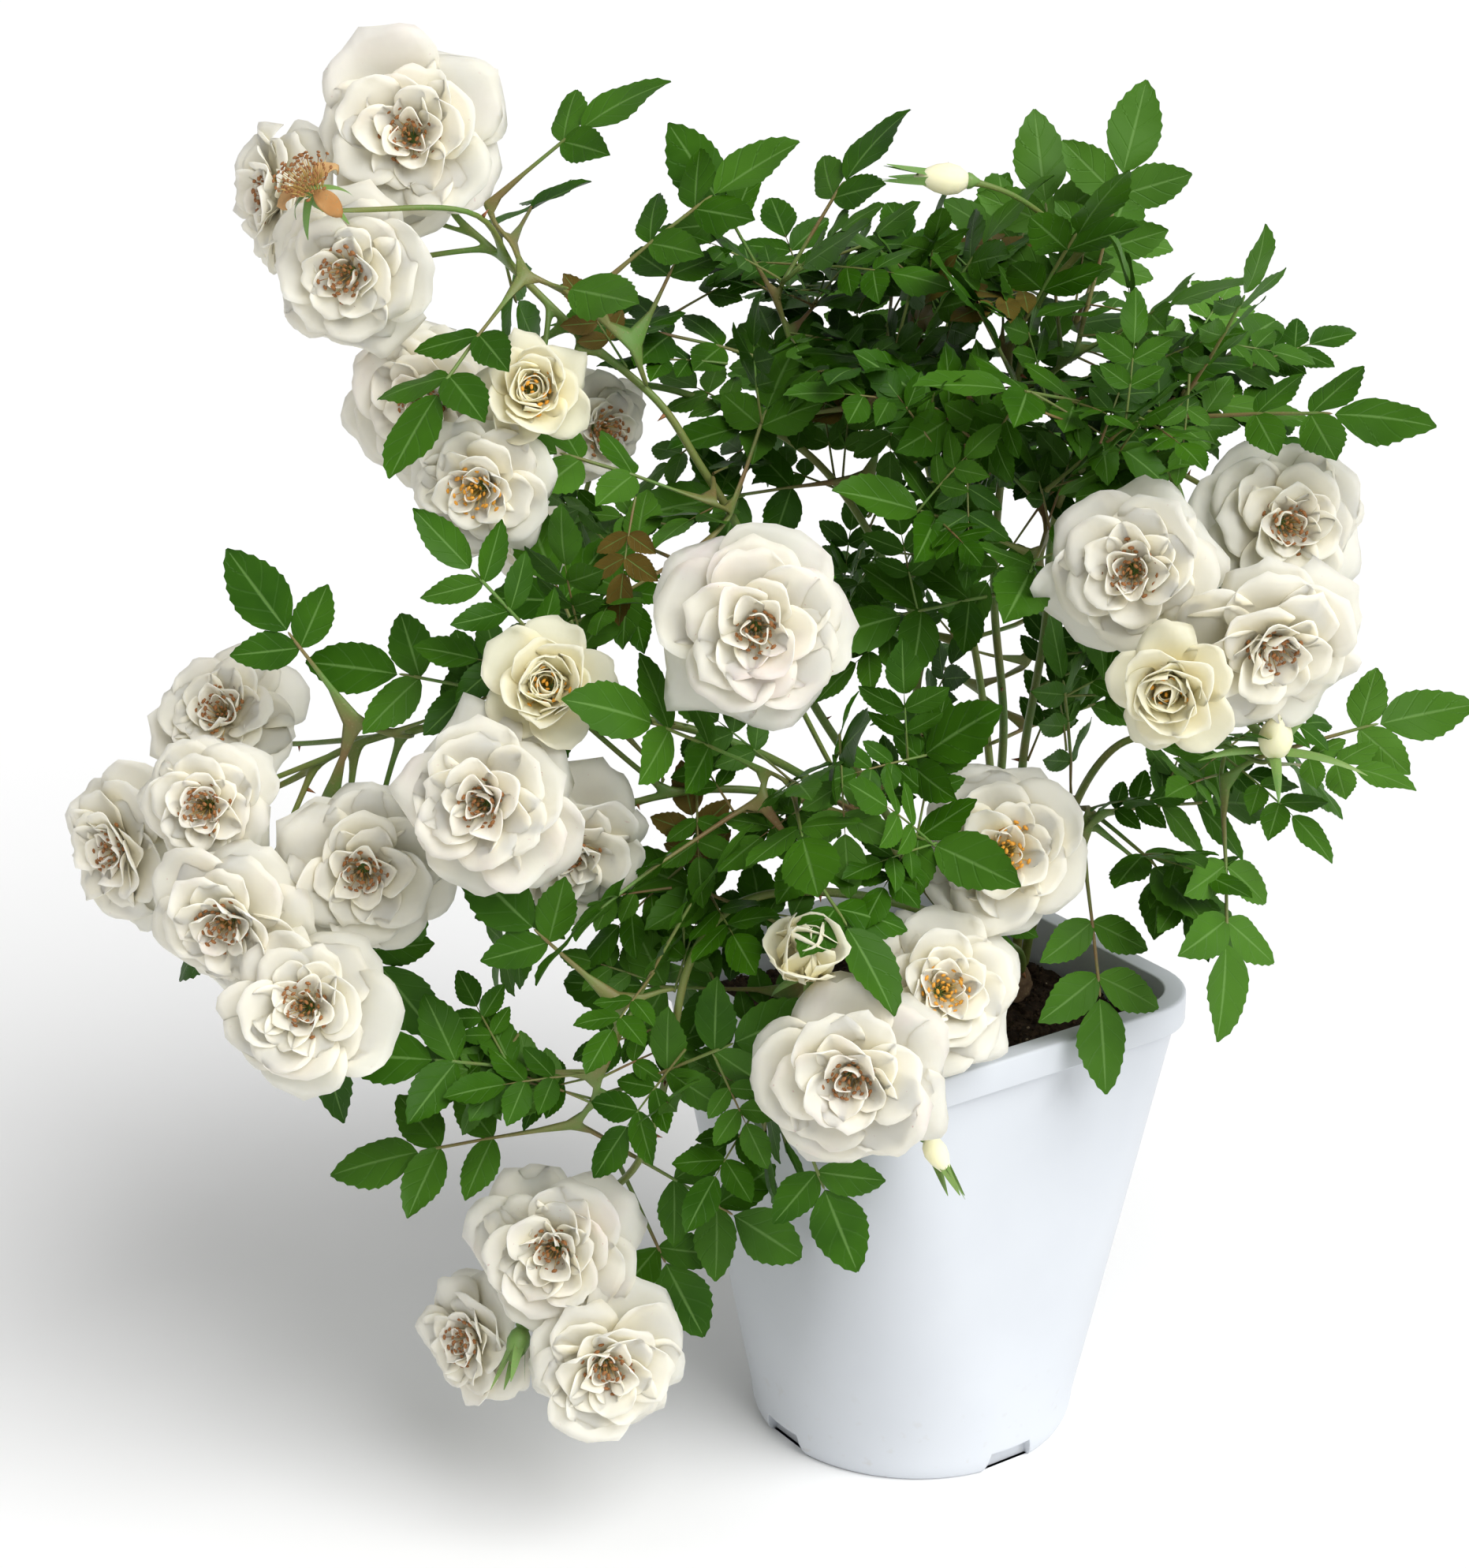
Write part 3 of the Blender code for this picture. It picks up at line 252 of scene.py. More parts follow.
def vein_group():
    """Midrib and side veins of a leaflet whose UV map runs across and along it."""
    group, given, out = new_group(
        "veins", "ShaderNodeTree",
        {"UV": ("NodeSocketVector", None), "Pairs": ("NodeSocketFloat", 9.0),
         "Slant": ("NodeSocketFloat", 3.2)},
        {"Midrib": "NodeSocketFloat", "Veins": "NodeSocketFloat"})
    parts = add_node(group, "ShaderNodeSeparateXYZ", {0: given.outputs["UV"]})
    away = maths(group, "ABSOLUTE", maths(group, "SUBTRACT", parts.outputs[0], 0.5))
    rise = maths(group, "MULTIPLY", parts.outputs[1], given.outputs["Pairs"])
    lean = maths(group, "MULTIPLY", away, given.outputs["Slant"])
    step = maths(group, "PINGPONG", maths(group, "SUBTRACT", rise, lean), 1.0)
    group.links.new(ranged(group, away, 0.012, 0.040, 1.0, 0.0), out.inputs["Midrib"])
    group.links.new(ranged(group, step, 0.03, 0.16, 1.0, 0.0), out.inputs["Veins"])
    return group


PATCHY = patchy_group()
VEINS = vein_group()


class Finish:
    """A material whose nodes are added one effect at a time."""

    def __init__(self, name, roughness, **sockets):
        self.made = bpy.data.materials.new(name)
        self.made.use_nodes = True
        self.tree = self.made.node_tree
        self.shader = self.tree.nodes["Principled BSDF"]
        self.shader.inputs["Roughness"].default_value = roughness
        for key, value in sockets.items():
            self.shader.inputs[key.replace("_", " ")].default_value = value
        self.place = add_node(self.tree, "ShaderNodeTexCoord").outputs["Object"]

    def patchy(self, scale, first, second, low=0.35, high=0.65, detail=4.0):
        group = add_node(self.tree, "ShaderNodeGroup", node_tree=PATCHY)
        self.tree.links.new(self.place, group.inputs["Vector"])
        for key, value in {"Scale": scale, "Detail": detail, "Low": low, "High": high,
                           "First": (*first, 1), "Second": (*second, 1)}.items():
            group.inputs[key].default_value = value
        return group.outputs["Colour"], group.outputs["Mask"]

    def painted(self, name):
        return add_node(self.tree, "ShaderNodeAttribute", attribute_name=name).outputs["Fac"]

    def mixed(self, share, first, second, blend="MIX"):
        """Mix of two colours, each a colour or a socket, by a share or a socket."""
        def full(colour):
            return colour if isinstance(colour, bpy.types.NodeSocket) else (*colour, 1)
        return add_node(self.tree, "ShaderNodeMix", {0: share, 6: full(first),
                                                     7: full(second)},
                        data_type="RGBA", blend_type=blend).outputs[2]

    def ranged(self, value, low, high, to_low=0.0, to_high=1.0):
        return ranged(self.tree, value, low, high, to_low, to_high)

    def product(self, first, second):
        return maths(self.tree, "MULTIPLY", first, second)

    def set(self, key, socket):
        self.tree.links.new(socket, self.shader.inputs[key])

    def bumps(self, height, strength, distance):
        bump = add_node(self.tree, "ShaderNodeBump", {"Height": height, "Strength": strength,
                                                      "Distance": distance})
        self.set("Normal", bump.outputs[0])


# --------------------------------------------------------------- materials
def petal_finish(name, ivory, warm_colour):
    """Velvety petals: a warm foot, a pink breath near the edge and a few specks."""
    finish = Finish(name, 0.62, Subsurface_Weight=0.50, Subsurface_Scale=0.010,
                    Specular_IOR_Level=0.18)
    finish.shader.inputs["Subsurface Radius"].default_value = (1.0, 0.85, 0.6)
    shade, mask = finish.patchy(60, ivory, [c * 0.955 for c in ivory])
    uv = add_node(finish.tree, "ShaderNodeUVMap", uv_map="UVMap")
    along = add_node(finish.tree, "ShaderNodeSeparateXYZ", {0: uv.outputs[0]}).outputs[1]
    foot = finish.ranged(along, 0.75, 0.05)
    colour = finish.mixed(finish.product(foot, finish.painted("warm")), shade, warm_colour)
    edge = finish.ranged(along, 0.45, 1.0)
    _, blush_mask = finish.patchy(45, ivory, ivory, 0.48, 0.70)
    blush = finish.product(finish.product(edge, blush_mask), finish.painted("pink"))
    colour = finish.mixed(blush, colour, (0.90, 0.66, 0.66))
    _, specks = finish.patchy(420, ivory, ivory, 0.735, 0.76, 2.0)
    colour = finish.mixed(finish.product(specks, finish.painted("pink")), colour,
                          (0.62, 0.22, 0.20))
    finish.set("Base Color", colour)
    finish.bumps(mask, 0.25, 0.0006)
    return finish.made


def leaf_finish(name):
    """Glossy serrated leaflets: pale ribs, patches, and young ones paler or bronze."""
    finish = Finish(name, 0.48, Specular_IOR_Level=0.13)
    shade, _ = finish.patchy(26, (0.018, 0.072, 0.001), (0.038, 0.126, 0.003))
    colour = finish.mixed(finish.painted("young"), shade, (0.085, 0.215, 0.022))
    colour = finish.mixed(finish.painted("bronze"), colour, (0.150, 0.075, 0.018))
    group = add_node(finish.tree, "ShaderNodeGroup", node_tree=VEINS)
    uv = add_node(finish.tree, "ShaderNodeUVMap", uv_map="UVMap")
    finish.tree.links.new(uv.outputs[0], group.inputs["UV"])
    group.inputs["Pairs"].default_value = 9.0
    group.inputs["Slant"].default_value = 5.0
    colour = finish.mixed(finish.product(group.outputs["Veins"], 0.16), colour,
                          (0.085, 0.200, 0.040))
    colour = finish.mixed(finish.product(group.outputs["Midrib"], 0.60), colour,
                          (0.150, 0.290, 0.070))
    finish.set("Base Color", colour)
    ridge = maths(finish.tree, "ADD", group.outputs["Veins"], group.outputs["Midrib"])
    finish.bumps(finish.product(ridge, -1.0), 0.35, 0.0005)
    return finish.made


def bark_finish(name, young, old, roughness):
    """Bark in two colours, with fine lenticels."""
    finish = Finish(name, roughness, Specular_IOR_Level=0.4)
    colour, _ = finish.patchy(34, young, old)
    _, spots = finish.patchy(900, young, young, 0.60, 0.68, 2.0)
    colour = finish.mixed(finish.product(spots, 0.35), colour, (0.30, 0.26, 0.12))
    finish.set("Base Color", colour)
    finish.bumps(spots, 0.3, 0.0004)
    return finish.made


def stamen_finish(name, filament, anther):
    """Filaments below, anthers above, by the painted share of a stamen's height."""
    finish = Finish(name, 0.6)
    finish.set("Base Color", finish.mixed(finish.ranged(finish.painted("height"), 0.70, 0.80),
                                          filament, anther))
    return finish.made


def pot_finish():
    """Satin moulded plastic, a little cloudy, with scuffs and dust at its foot."""
    finish = Finish("pot_plastic", 0.42, Specular_IOR_Level=0.45)
    colour, cloud = finish.patchy(9, (0.600, 0.630, 0.670), (0.650, 0.680, 0.720))
    _, scuffs = finish.patchy(150, (0, 0, 0), (1, 1, 1), 0.62, 0.72, 8.0)
    height = add_node(finish.tree, "ShaderNodeSeparateXYZ", {0: finish.place}).outputs[2]
    low = finish.ranged(height, 0.060, 0.0)
    dust = finish.product(finish.product(low, scuffs), 0.35)
    finish.set("Base Color", finish.mixed(dust, colour, (0.50, 0.47, 0.42)))
    finish.set("Roughness", finish.ranged(cloud, 0.0, 1.0, 0.38, 0.48))
    finish.bumps(cloud, 0.06, 0.0006)
    return finish.made


def soil_finish(name, dark, light, scale):
    finish = Finish(name, 0.95, Specular_IOR_Level=0.2)
    colour, mask = finish.patchy(scale, dark, light, 0.35, 0.70, 10.0)
    finish.set("Base Color", colour)
    finish.bumps(mask, 0.8, 0.0012)
    return finish.made


FINISHES = {
    "ivory": petal_finish("petal_ivory", (0.950, 0.905, 0.735), (0.930, 0.770, 0.330)),
    "cream": petal_finish("petal_cream", (0.950, 0.890, 0.600), (0.930, 0.760, 0.250)),
    "dried": bark_finish("petal_dried", (0.42, 0.20, 0.06), (0.60, 0.38, 0.17), 0.85),
    "leaf": leaf_finish("leaf_green"),
    "cane": bark_finish("cane_green", (0.105, 0.215, 0.035), (0.190, 0.200, 0.050), 0.45),
    "twig": bark_finish("twig_green", (0.120, 0.240, 0.045), (0.210, 0.130, 0.050), 0.48),
    "calyx": bark_finish("calyx_green", (0.130, 0.270, 0.060), (0.200, 0.320, 0.080), 0.5),
    "thorn": bark_finish("thorn_red", (0.230, 0.060, 0.025), (0.330, 0.140, 0.050), 0.45),
    "bark": bark_finish("crown_bark", (0.070, 0.042, 0.022), (0.170, 0.105, 0.055), 0.9),
    "fresh": stamen_finish("stamen_fresh", (0.85, 0.66, 0.16), (0.72, 0.33, 0.03)),
    "old": stamen_finish("stamen_old", (0.72, 0.50, 0.16), (0.30, 0.12, 0.03)),
    "pot": pot_finish(),
    "soil": soil_finish("soil_dark", (0.012, 0.007, 0.004), (0.050, 0.030, 0.017), 260),
    "crumb": soil_finish("soil_crumb", (0.018, 0.010, 0.006), (0.075, 0.046, 0.026), 400),
    "fleck": soil_finish("soil_fleck", (0.300, 0.230, 0.150), (0.560, 0.500, 0.400), 500),
}


# ------------------------------------------------------------------- tools
def square_to(along, wanted):
    """The part of `wanted` at right angles to `along`, as a unit vector."""
    rest = wanted - along * wanted.dot(along)
    if rest.length < 1e-6:
        rest = Vector((1, 0, 0)) - along * along.x
    return rest.normalized()


def facing(azimuth, elevation):
    """Unit vector: azimuth 0 looks to the front and grows to the right."""
    a = math.radians(azimuth)
    e = math.radians(elevation)
    return Vector((math.sin(a) * math.cos(e), -math.cos(a) * math.cos(e), math.sin(e)))


def placed(name, data):
    """A new object in the scene."""
    thing = bpy.data.objects.new(name, data)
    bpy.context.scene.collection.objects.link(thing)
    return thing


def as_mesh(bm, name):
    """An edited mesh as finished data."""
    mesh = bpy.data.meshes.new(name)
    bm.to_mesh(mesh)
    bm.free()
    return mesh


def cad_copy(node):
    """A CAD node's mesh with its loose triangles merged."""
    bm = bmesh.new()
    bm.from_mesh(frame["nodes"][node].data)
    bmesh.ops.remove_doubles(bm, verts=bm.verts, dist=1e-5)
    return bm


def add_piece(name, mesh, finish):
    """An object that shows the mesh in one finish, smoothly shaded."""
    piece = placed(name, mesh)
    mesh.materials.clear()
    mesh.materials.append(FINISHES[finish])
    mesh.shade_smooth()
    return piece


def baked(thing):
    """The evaluated object as a plain mesh, with nothing live left on it."""
    bpy.context.view_layer.update()
    graph = bpy.context.evaluated_depsgraph_get()
    return bpy.data.meshes.new_from_object(thing.evaluated_get(graph),
                                           preserve_all_data_layers=True, depsgraph=graph)


def remove(thing):
    bpy.data.objects.remove(thing, do_unlink=True)


def subdivided(bm, levels):
    """A smooth mesh of the given control cage."""
    bm.normal_update()
    cage = placed("cage", as_mesh(bm, "cage"))
    smooth = cage.modifiers.new("round", "SUBSURF")
    smooth.levels = levels
    smooth.render_levels = levels
    done = baked(cage)
    remove(cage)
    return done


def thickened(mesh, thick):
    """A sheet given two faces and an edge."""
    sheet = placed("sheet", mesh)
    wall = sheet.modifiers.new("thickness", "SOLIDIFY")
    wall.thickness = thick
    wall.offset = 0
    done = baked(sheet)
    remove(sheet)
    return done


class Sheets:
    """Grids of points gathered into one mesh, with a UV map and painted values."""

    def __init__(self, *painted):
        self.points = []
        self.faces = []
        self.uvs = []
        self.painted = {name: [] for name in painted}
        self.count = 0

    def grid(self, places, closed=False, **painted):
        """Adds rows x columns x 3 places; `closed` joins each row's ends."""
        rows, columns = places.shape[:2]
        index = np.arange(rows * columns).reshape(rows, columns) + self.count
        across = np.append(index, index[:, :1], axis=1) if closed else index
        self.faces.append(np.stack([across[:-1, :-1], across[:-1, 1:], across[1:, 1:],
                                    across[1:, :-1]], axis=-1).reshape(-1, 4))
        u, v = np.meshgrid(np.linspace(0, 1, columns), np.linspace(0, 1, rows))
        self.uvs.append(np.stack([u, v], axis=-1).reshape(-1, 2))
        self.points.append(places.reshape(-1, 3))
        for name, values in self.painted.items():
            values.append(np.full(rows * columns, painted.get(name, 0.0)))
        self.count += rows * columns

    def mesh(self, name):
        points = np.concatenate(self.points)
        faces = np.concatenate(self.faces)
        uvs = np.concatenate(self.uvs)
        mesh = bpy.data.meshes.new(name)
        mesh.from_pydata(points.tolist(), [], faces.tolist())
        layer = mesh.uv_layers.new(name="UVMap")
        layer.data.foreach_set("uv", uvs[faces.ravel()].astype(np.float32).ravel())
        for key, values in self.painted.items():
            paint = mesh.attributes.new(key, "FLOAT", "POINT")
            paint.data.foreach_set("value", np.concatenate(values).astype(np.float32))
        mesh.update()
        return mesh


def tube(sheets, points, radii, sides=6, **painted):
    """A round stalk along the points, drawn in to a point at both ends."""
    points = [Vector(p) for p in points]
    rows = []
    side = None
    for k, place in enumerate(points):
        along = (points[min(k + 1, len(points) - 1)] - points[max(k - 1, 0)]).normalized()
        side = square_to(along, side or Vector((0.3, 0.2, 1)))
        other = along.cross(side)
        angles = [math.tau * j / sides for j in range(sides)]
        rows.append([place + (side * math.cos(a) + other * math.sin(a)) * radii[k]
                     for a in angles])
    sheets.grid(np.array(rows), closed=True, **painted)


def stepped(rng, middle, spread):
    """A random value up to `spread` from the middle."""
    return middle + spread * (2 * rng.random() - 1)


# ------------------------------------------------------------------ blooms
def bloom_seat(node):
    """Where a bloom's middle is, which way it faces and its radius, from its CAD solid."""
    bm = cad_copy(node)
    points = np.array([v.co for v in bm.verts])
    bm.free()
    centre = points.mean(axis=0)
    spread, ways = np.linalg.eigh(np.cov((points - centre).T))
    axis = ways[:, 2] if spread[1] - spread[0] < spread[2] - spread[1] else ways[:, 0]
    look = Vector(axis)
    if look.dot(Vector((0, -1, 0.3))) < 0:
        look.negate()
    heights = (points - centre) @ np.array(look)
    flat = points - centre - np.outer(heights, look)
    radius = np.linalg.norm(flat, axis=1).max()
    form = FORMS.get(node, "open")
    middle = Vector(centre) + look * (heights.min() + HIP_BACK[form])
    return middle, look, radius, form


def petal_places(length, width, lift, curl, cup, roll, rng):
    """A petal in the bloom's upright frame: x across, y out from the axis, z forward."""
    v = np.linspace(0, 1, PETAL_ROWS)[:, None]
    u = np.linspace(-1, 1, PETAL_COLUMNS)[None, :]
    late = np.clip((v - 0.62) / 0.38, 0, 1)
    half = width / 2 * (0.24 + 0.76 * np.sin(np.pi / 2 * np.minimum(1, v / 0.70)))
    half = half * (1 - 0.16 * late ** 2)
    lobe = rng.uniform(-0.05, 0.09)
    share = v * (1 - 0.17 * np.abs(u) ** 2.6 * v + lobe * np.exp(-(u / 0.22) ** 2) * v ** 6)
    share = share + 0.018 * np.sin(u * 6 + rng.uniform(0, 6.28)) * v ** 4
    steps = np.linspace(0, 1.25, 60)
    angle = lift + curl * steps ** 1.4
    out = np.concatenate([[0], np.cumsum(np.cos(angle[1:]) * np.diff(steps))])
    rise = np.concatenate([[0], np.cumsum(np.sin(angle[1:]) * np.diff(steps))])
    y = length * np.interp(share, steps, out)
    z = length * np.interp(share, steps, rise)
    tilt = lift + curl * share ** 1.4
    ease = np.clip((v - 0.50) / 0.50, 0, 1) ** 1.4
    lean, phase = rng.uniform(-0.14, 0.14), rng.uniform(0, 6.28)
    ripple = 0.050 * np.sin(u * 4.6 + phase) * v + 0.030 * np.sin(v * 8 + u * 2.4 + phase)
    push = width * (cup * u ** 2 * np.sqrt(v) - roll * np.abs(u) ** 1.8 * ease
                    + lean * u * v + ripple * (0.3 + 0.7 * np.abs(u)))
    x = u * half * (1 - 0.42 * roll * ease)
    return np.stack([x + 0 * v, y - push * np.sin(tilt), z + push * np.cos(tilt)], axis=-1)


def turned(places, angle, reach, height):
    """Places turned about the bloom's axis, moved out from it and along it."""
    moved = places + np.array([0, reach, height])
    c, s = math.cos(angle), math.sin(angle)
    return moved @ np.array([[c, s, 0], [-s, c, 0], [0, 0, 1]])


def seated(mesh, middle, look):
    """Moves a mesh made round the z axis on to a bloom's place and facing."""
    up = square_to(look, Vector((0, 0, 1)))
    side = up.cross(look)
    turn = Matrix((side, up, look)).transposed().to_4x4()
    mesh.transform(Matrix.Translation(middle) @ turn)
    return mesh


def petals(node, radius, form, rng):
    """A bloom's rings of petals, round the z axis."""
    warm, pink = TINTS.get(node, PLAIN_TINT)
    sheets = Sheets("warm", "pink")
    for ring, (count, long, wide, lift, curl, cup, roll, foot) in enumerate(RINGS[form]):
        first = rng.uniform(0, math.tau)
        for k in range(count):
            size = rng.uniform(0.90, 1.06)
            places = petal_places(
                radius * long * size, radius * wide * size * rng.uniform(0.92, 1.08),
                math.radians(lift + rng.uniform(-9, 9)),
                math.radians(curl + rng.uniform(-16, 16)), cup * rng.uniform(0.5, 1.5),
                roll * rng.choice([0.1, 0.6, 1.5]), rng)
            angle = first + math.tau * k / count + rng.uniform(-0.16, 0.16)
            places = turned(places, angle, 0.0022 + 0.0003 * ring,
                            (foot + rng.uniform(-0.6, 0.6)) / 1000)
            sheets.grid(places, warm=warm * rng.uniform(0.8, 1.0),
                        pink=pink * rng.uniform(0.3, 1.0))
    return sheets.mesh("petals")


def turned_profile(profile, sides=14):
    """Rows of a turned shape: (radius, height) pairs."""
    angles = np.linspace(0, math.tau, sides, endpoint=False)
    return np.array([[(r * math.cos(a), r * math.sin(a), h) for a in angles]
                     for r, h in profile])


def calyx(hip_start, cup_height, rng, long=0.016, wide=0.0052, lift=-20, curl=-50):
    """The green hip under a bloom, and its five pointed sepals."""
    sheets = Sheets()
    rise = cup_height - hip_start
    bell = [(0.00005, 0.0), (0.0011, 0.001), (0.0016, 0.15), (0.0030, 0.42), (0.0034, 0.62),
            (0.0025, 0.82), (0.0036, 1.0), (0.0001, 1.02)]
    sheets.grid(turned_profile([(r, hip_start + rise * h) for r, h in bell]), closed=True)
    for k in range(5):
        v = np.linspace(0, 1, 9)[:, None]
        u = np.linspace(-1, 1, 5)[None, :]
        half = wide / 2 * np.maximum(0.06, (1 - v) ** 0.8 * (0.75 + 0.5 * v))
        angle = math.radians(lift + rng.uniform(-12, 12)) + math.radians(curl) * v
        step = long * rng.uniform(0.85, 1.15) / 8
        y = np.cumsum(np.cos(angle)) * step + 0.0018
        z = np.cumsum(np.sin(angle)) * step + cup_height
        x = u * half
        places = np.stack([x, y[:, None] + 0 * u, z[:, None] - 0.35 * np.abs(x)], axis=-1)
        sheets.grid(turned(places, math.tau * (k + 0.5) / 5, 0, 0))
    return sheets.mesh("calyx")


def stamen_tree():
    """Stamens on a sunflower spiral, leaning out from its middle."""
    tree, given, out = new_group(
        "stamens", "GeometryNodeTree",
        {"Geometry": ("NodeSocketGeometry", None), "Count": ("NodeSocketInt", 40),
         "Radius": ("NodeSocketFloat", 0.004), "Length": ("NodeSocketFloat", 0.008),
         "Lean": ("NodeSocketFloat", 0.7), "Anther": ("NodeSocketFloat", 0.0007),
         "Seed": ("NodeSocketInt", 1), "Finish": ("NodeSocketMaterial", None)},
        {"Geometry": "NodeSocketGeometry"})
    stamen = add_node(tree, "GeometryNodeMeshCone",
                      {"Vertices": 4, "Radius Top": 0.00012, "Radius Bottom": 0.00018,
                       "Depth": given.outputs["Length"]})
    head = add_node(tree, "GeometryNodeMeshIcoSphere", {"Radius": given.outputs["Anther"],
                                                        "Subdivisions": 1})
    top = add_node(tree, "ShaderNodeCombineXYZ", {2: given.outputs["Length"]})
    raised = add_node(tree, "GeometryNodeTransform", {"Geometry": head.outputs[0],
                                                      "Translation": top.outputs[0],
                                                      "Scale": (1.0, 1.7, 0.9)})
    both = add_node(tree, "GeometryNodeJoinGeometry")
    tree.links.new(stamen.outputs[0], both.inputs[0])
    tree.links.new(raised.outputs[0], both.inputs[0])
    place = add_node(tree, "GeometryNodeInputPosition")
    high = add_node(tree, "ShaderNodeSeparateXYZ", {0: place.outputs[0]})
    share = maths(tree, "DIVIDE", high.outputs[2], given.outputs["Length"])
    painted = add_node(tree, "GeometryNodeStoreNamedAttribute",
                       {"Geometry": both.outputs[0], "Name": "height",
                        "Value": share}, data_type="FLOAT", domain="POINT")
    seats = add_node(tree, "GeometryNodePoints", {"Count": given.outputs["Count"]})
    number = add_node(tree, "GeometryNodeInputIndex").outputs[0]
    root = maths(tree, "SQRT", maths(tree, "DIVIDE", number, given.outputs["Count"]))
    reach = maths(tree, "MULTIPLY", root, given.outputs["Radius"])
    angle = maths(tree, "MULTIPLY", number, GOLDEN)
    across, back = (maths(tree, "MULTIPLY", reach, maths(tree, way, angle))
                    for way in ("COSINE", "SINE"))
    spot = add_node(tree, "ShaderNodeCombineXYZ", {0: across, 1: back})
    seated_points = add_node(tree, "GeometryNodeSetPosition",
                             {"Geometry": seats.outputs[0], "Position": spot.outputs[0]})
    lean = maths(tree, "MULTIPLY", root, given.outputs["Lean"])
    lean = maths(tree, "MULTIPLY", lean, random_size(tree, given, 0.6, 1.3))
    turn = add_node(tree, "ShaderNodeCombineXYZ", {1: lean, 2: angle})
    each = add_node(tree, "GeometryNodeInstanceOnPoints",
                    {"Points": seated_points.outputs[0], "Instance": painted.outputs[0],
                     "Rotation": turn.outputs[0],
                     "Scale": random_size(tree, given, 0.75, 1.15)})
    return end_tree(tree, given, out, each)


def run_tree(tree, carrier, values):
    """Bakes a geometry tree on the carrier's mesh, with its inputs set by name."""
    thing = placed("carrier", carrier)
    modifier = thing.modifiers.new("nodes", "NODES")
    modifier.node_group = tree
    for item in tree.interface.items_tree:
        if item.in_out == "INPUT" and item.name in values:
            modifier[item.identifier] = values[item.name]
    mesh = baked(thing)
    thing.modifiers.remove(modifier)
    remove(thing)
    return mesh


STAMENS = stamen_tree()


def stamen_look(node, form):
    """The finish of a bloom's stamens, which brown as it opens."""
    old = form == "spent" or TINTS.get(node, PLAIN_TINT)[0] < FRESH_FROM
    return "old" if old else "fresh"


def stamens(radius, form, look, seed):
    """A bloom's stamens, round the z axis."""
    count, spread, long, anther, foot = HEARTS[form]
    mesh = run_tree(STAMENS, bpy.data.meshes.new("seat"),
                    {"Count": count, "Radius": radius * spread, "Length": long,
                     "Lean": STAMEN_LEAN, "Anther": anther, "Seed": seed,
                     "Finish": FINISHES[look]})
    mesh.transform(Matrix.Translation((0, 0, foot)))
    return mesh


def build_bloom(node, seed):
    """A bloom's petals, its calyx, and the stamens of one that is open."""
    middle, look, radius, form = bloom_seat(node)
    rng = np.random.default_rng(100 + seed)
    young = form in ("cup", "bud") and node != "bloom_back_2"
    slot = {"spent": "spent_bloom"}.get(form, "cream_petal" if young else "ivory_petal")
    shade = {"spent": "dried"}.get(form, "cream" if young else "ivory")
    sheet = thickened(seated(petals(node, radius, form, rng), middle, look), PETAL_THICK)
    crown = add_piece(node + "_petals", sheet, shade)
    green = seated(calyx(-HIP_BACK[form], HIP_TOP[form], rng), middle, look)
    under = add_piece(node + "_calyx", green, "calyx")
    finished(crown, slot, node)
    finished(under, "green_cane")
    if form != "bud":
        shade = stamen_look(node, form)
        heart = seated(stamens(radius, form, shade, seed), middle, look)
        finished(add_piece(node + "_stamens", heart, shade), slot)


def finished(piece, slot, *nodes):
    """Attaches a piece to the root body and hides the CAD nodes it stands for. The slot is not
    used.
    """
    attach(piece, "root")
    if nodes:
        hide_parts(*nodes)


def build_tip_bud(name, place, look, long, petalled, seed):
    """A closed bud or a green hip at the end of a cane's stalk."""
    rng = np.random.default_rng(300 + seed)
    x, y, z = place
    middle = Vector((x / 1000, y / 1000, SOIL_LEVEL + z / 1000))
    look = facing(*look)
    long = long / 1000
    fat = 0.27 * long
    sheets = Sheets()
    bell = [(0.00005, 0.0), (0.30, 0.02), (0.85, 0.22), (1.0, 0.42), (0.85, 0.62),
            (0.45, 0.85), (0.004, 1.0)]
    sheets.grid(turned_profile([(r * fat, h * long) for r, h in bell]), closed=True)
    body = seated(sheets.mesh(name), middle, look)
    finished(add_piece(name, body, "cream" if petalled else "calyx"), "cream_petal"
             if petalled else "green_cane")
    lift, curl = (86, -6) if name != "pale_bud" else (20, -40)
    green = calyx(-0.003, 0.18 * long, rng, long * 1.15, 0.0062, lift, curl)
    finished(add_piece(name + "_calyx", seated(green, middle, look), "calyx"), "green_cane")


# ------------------------------------------------------------------ leaves
def read_leaflets(bm):
    """Each CAD leaflet's base, direction, upper side, length and width, taken out of bm."""
    found = []
    used = set()
    for edge in bm.edges:
        if abs(edge.calc_length() - BLADE / 2) > 3e-5:
            continue
        ends = set(edge.verts)
        near = {v for end in ends for e in end.link_edges for v in e.verts} - ends
        if len(near) != 4:
            continue
        middle = sum((v.co for v in near), Vector()) / 4
        tip = (edge.verts[0].co + edge.verts[1].co) / 2
        normal = (edge.verts[0].co - edge.verts[1].co).normalized()
        if (tip - middle).dot(normal) > 0:
            normal.negate()
        fall = LEAF_CROWN + LEAF_DROOP
        length = (tip - middle).length / math.hypot(1 - LEAF_WIDEST, fall)
        along = ((tip - middle) / length + normal * fall) / (1 - LEAF_WIDEST)
        side = normal.cross(along)
        across = [v.co.dot(side) for v in near]
        base = middle - along * (LEAF_WIDEST * length) - normal * (LEAF_CROWN * length)
        found.append((base, along.normalized(), normal, length, max(across) - min(across)))
        used |= ends | near
    bmesh.ops.delete(bm, geom=list(used), context="VERTS")
    bmesh.ops.holes_fill(bm, edges=bm.edges, sides=8)
    return found


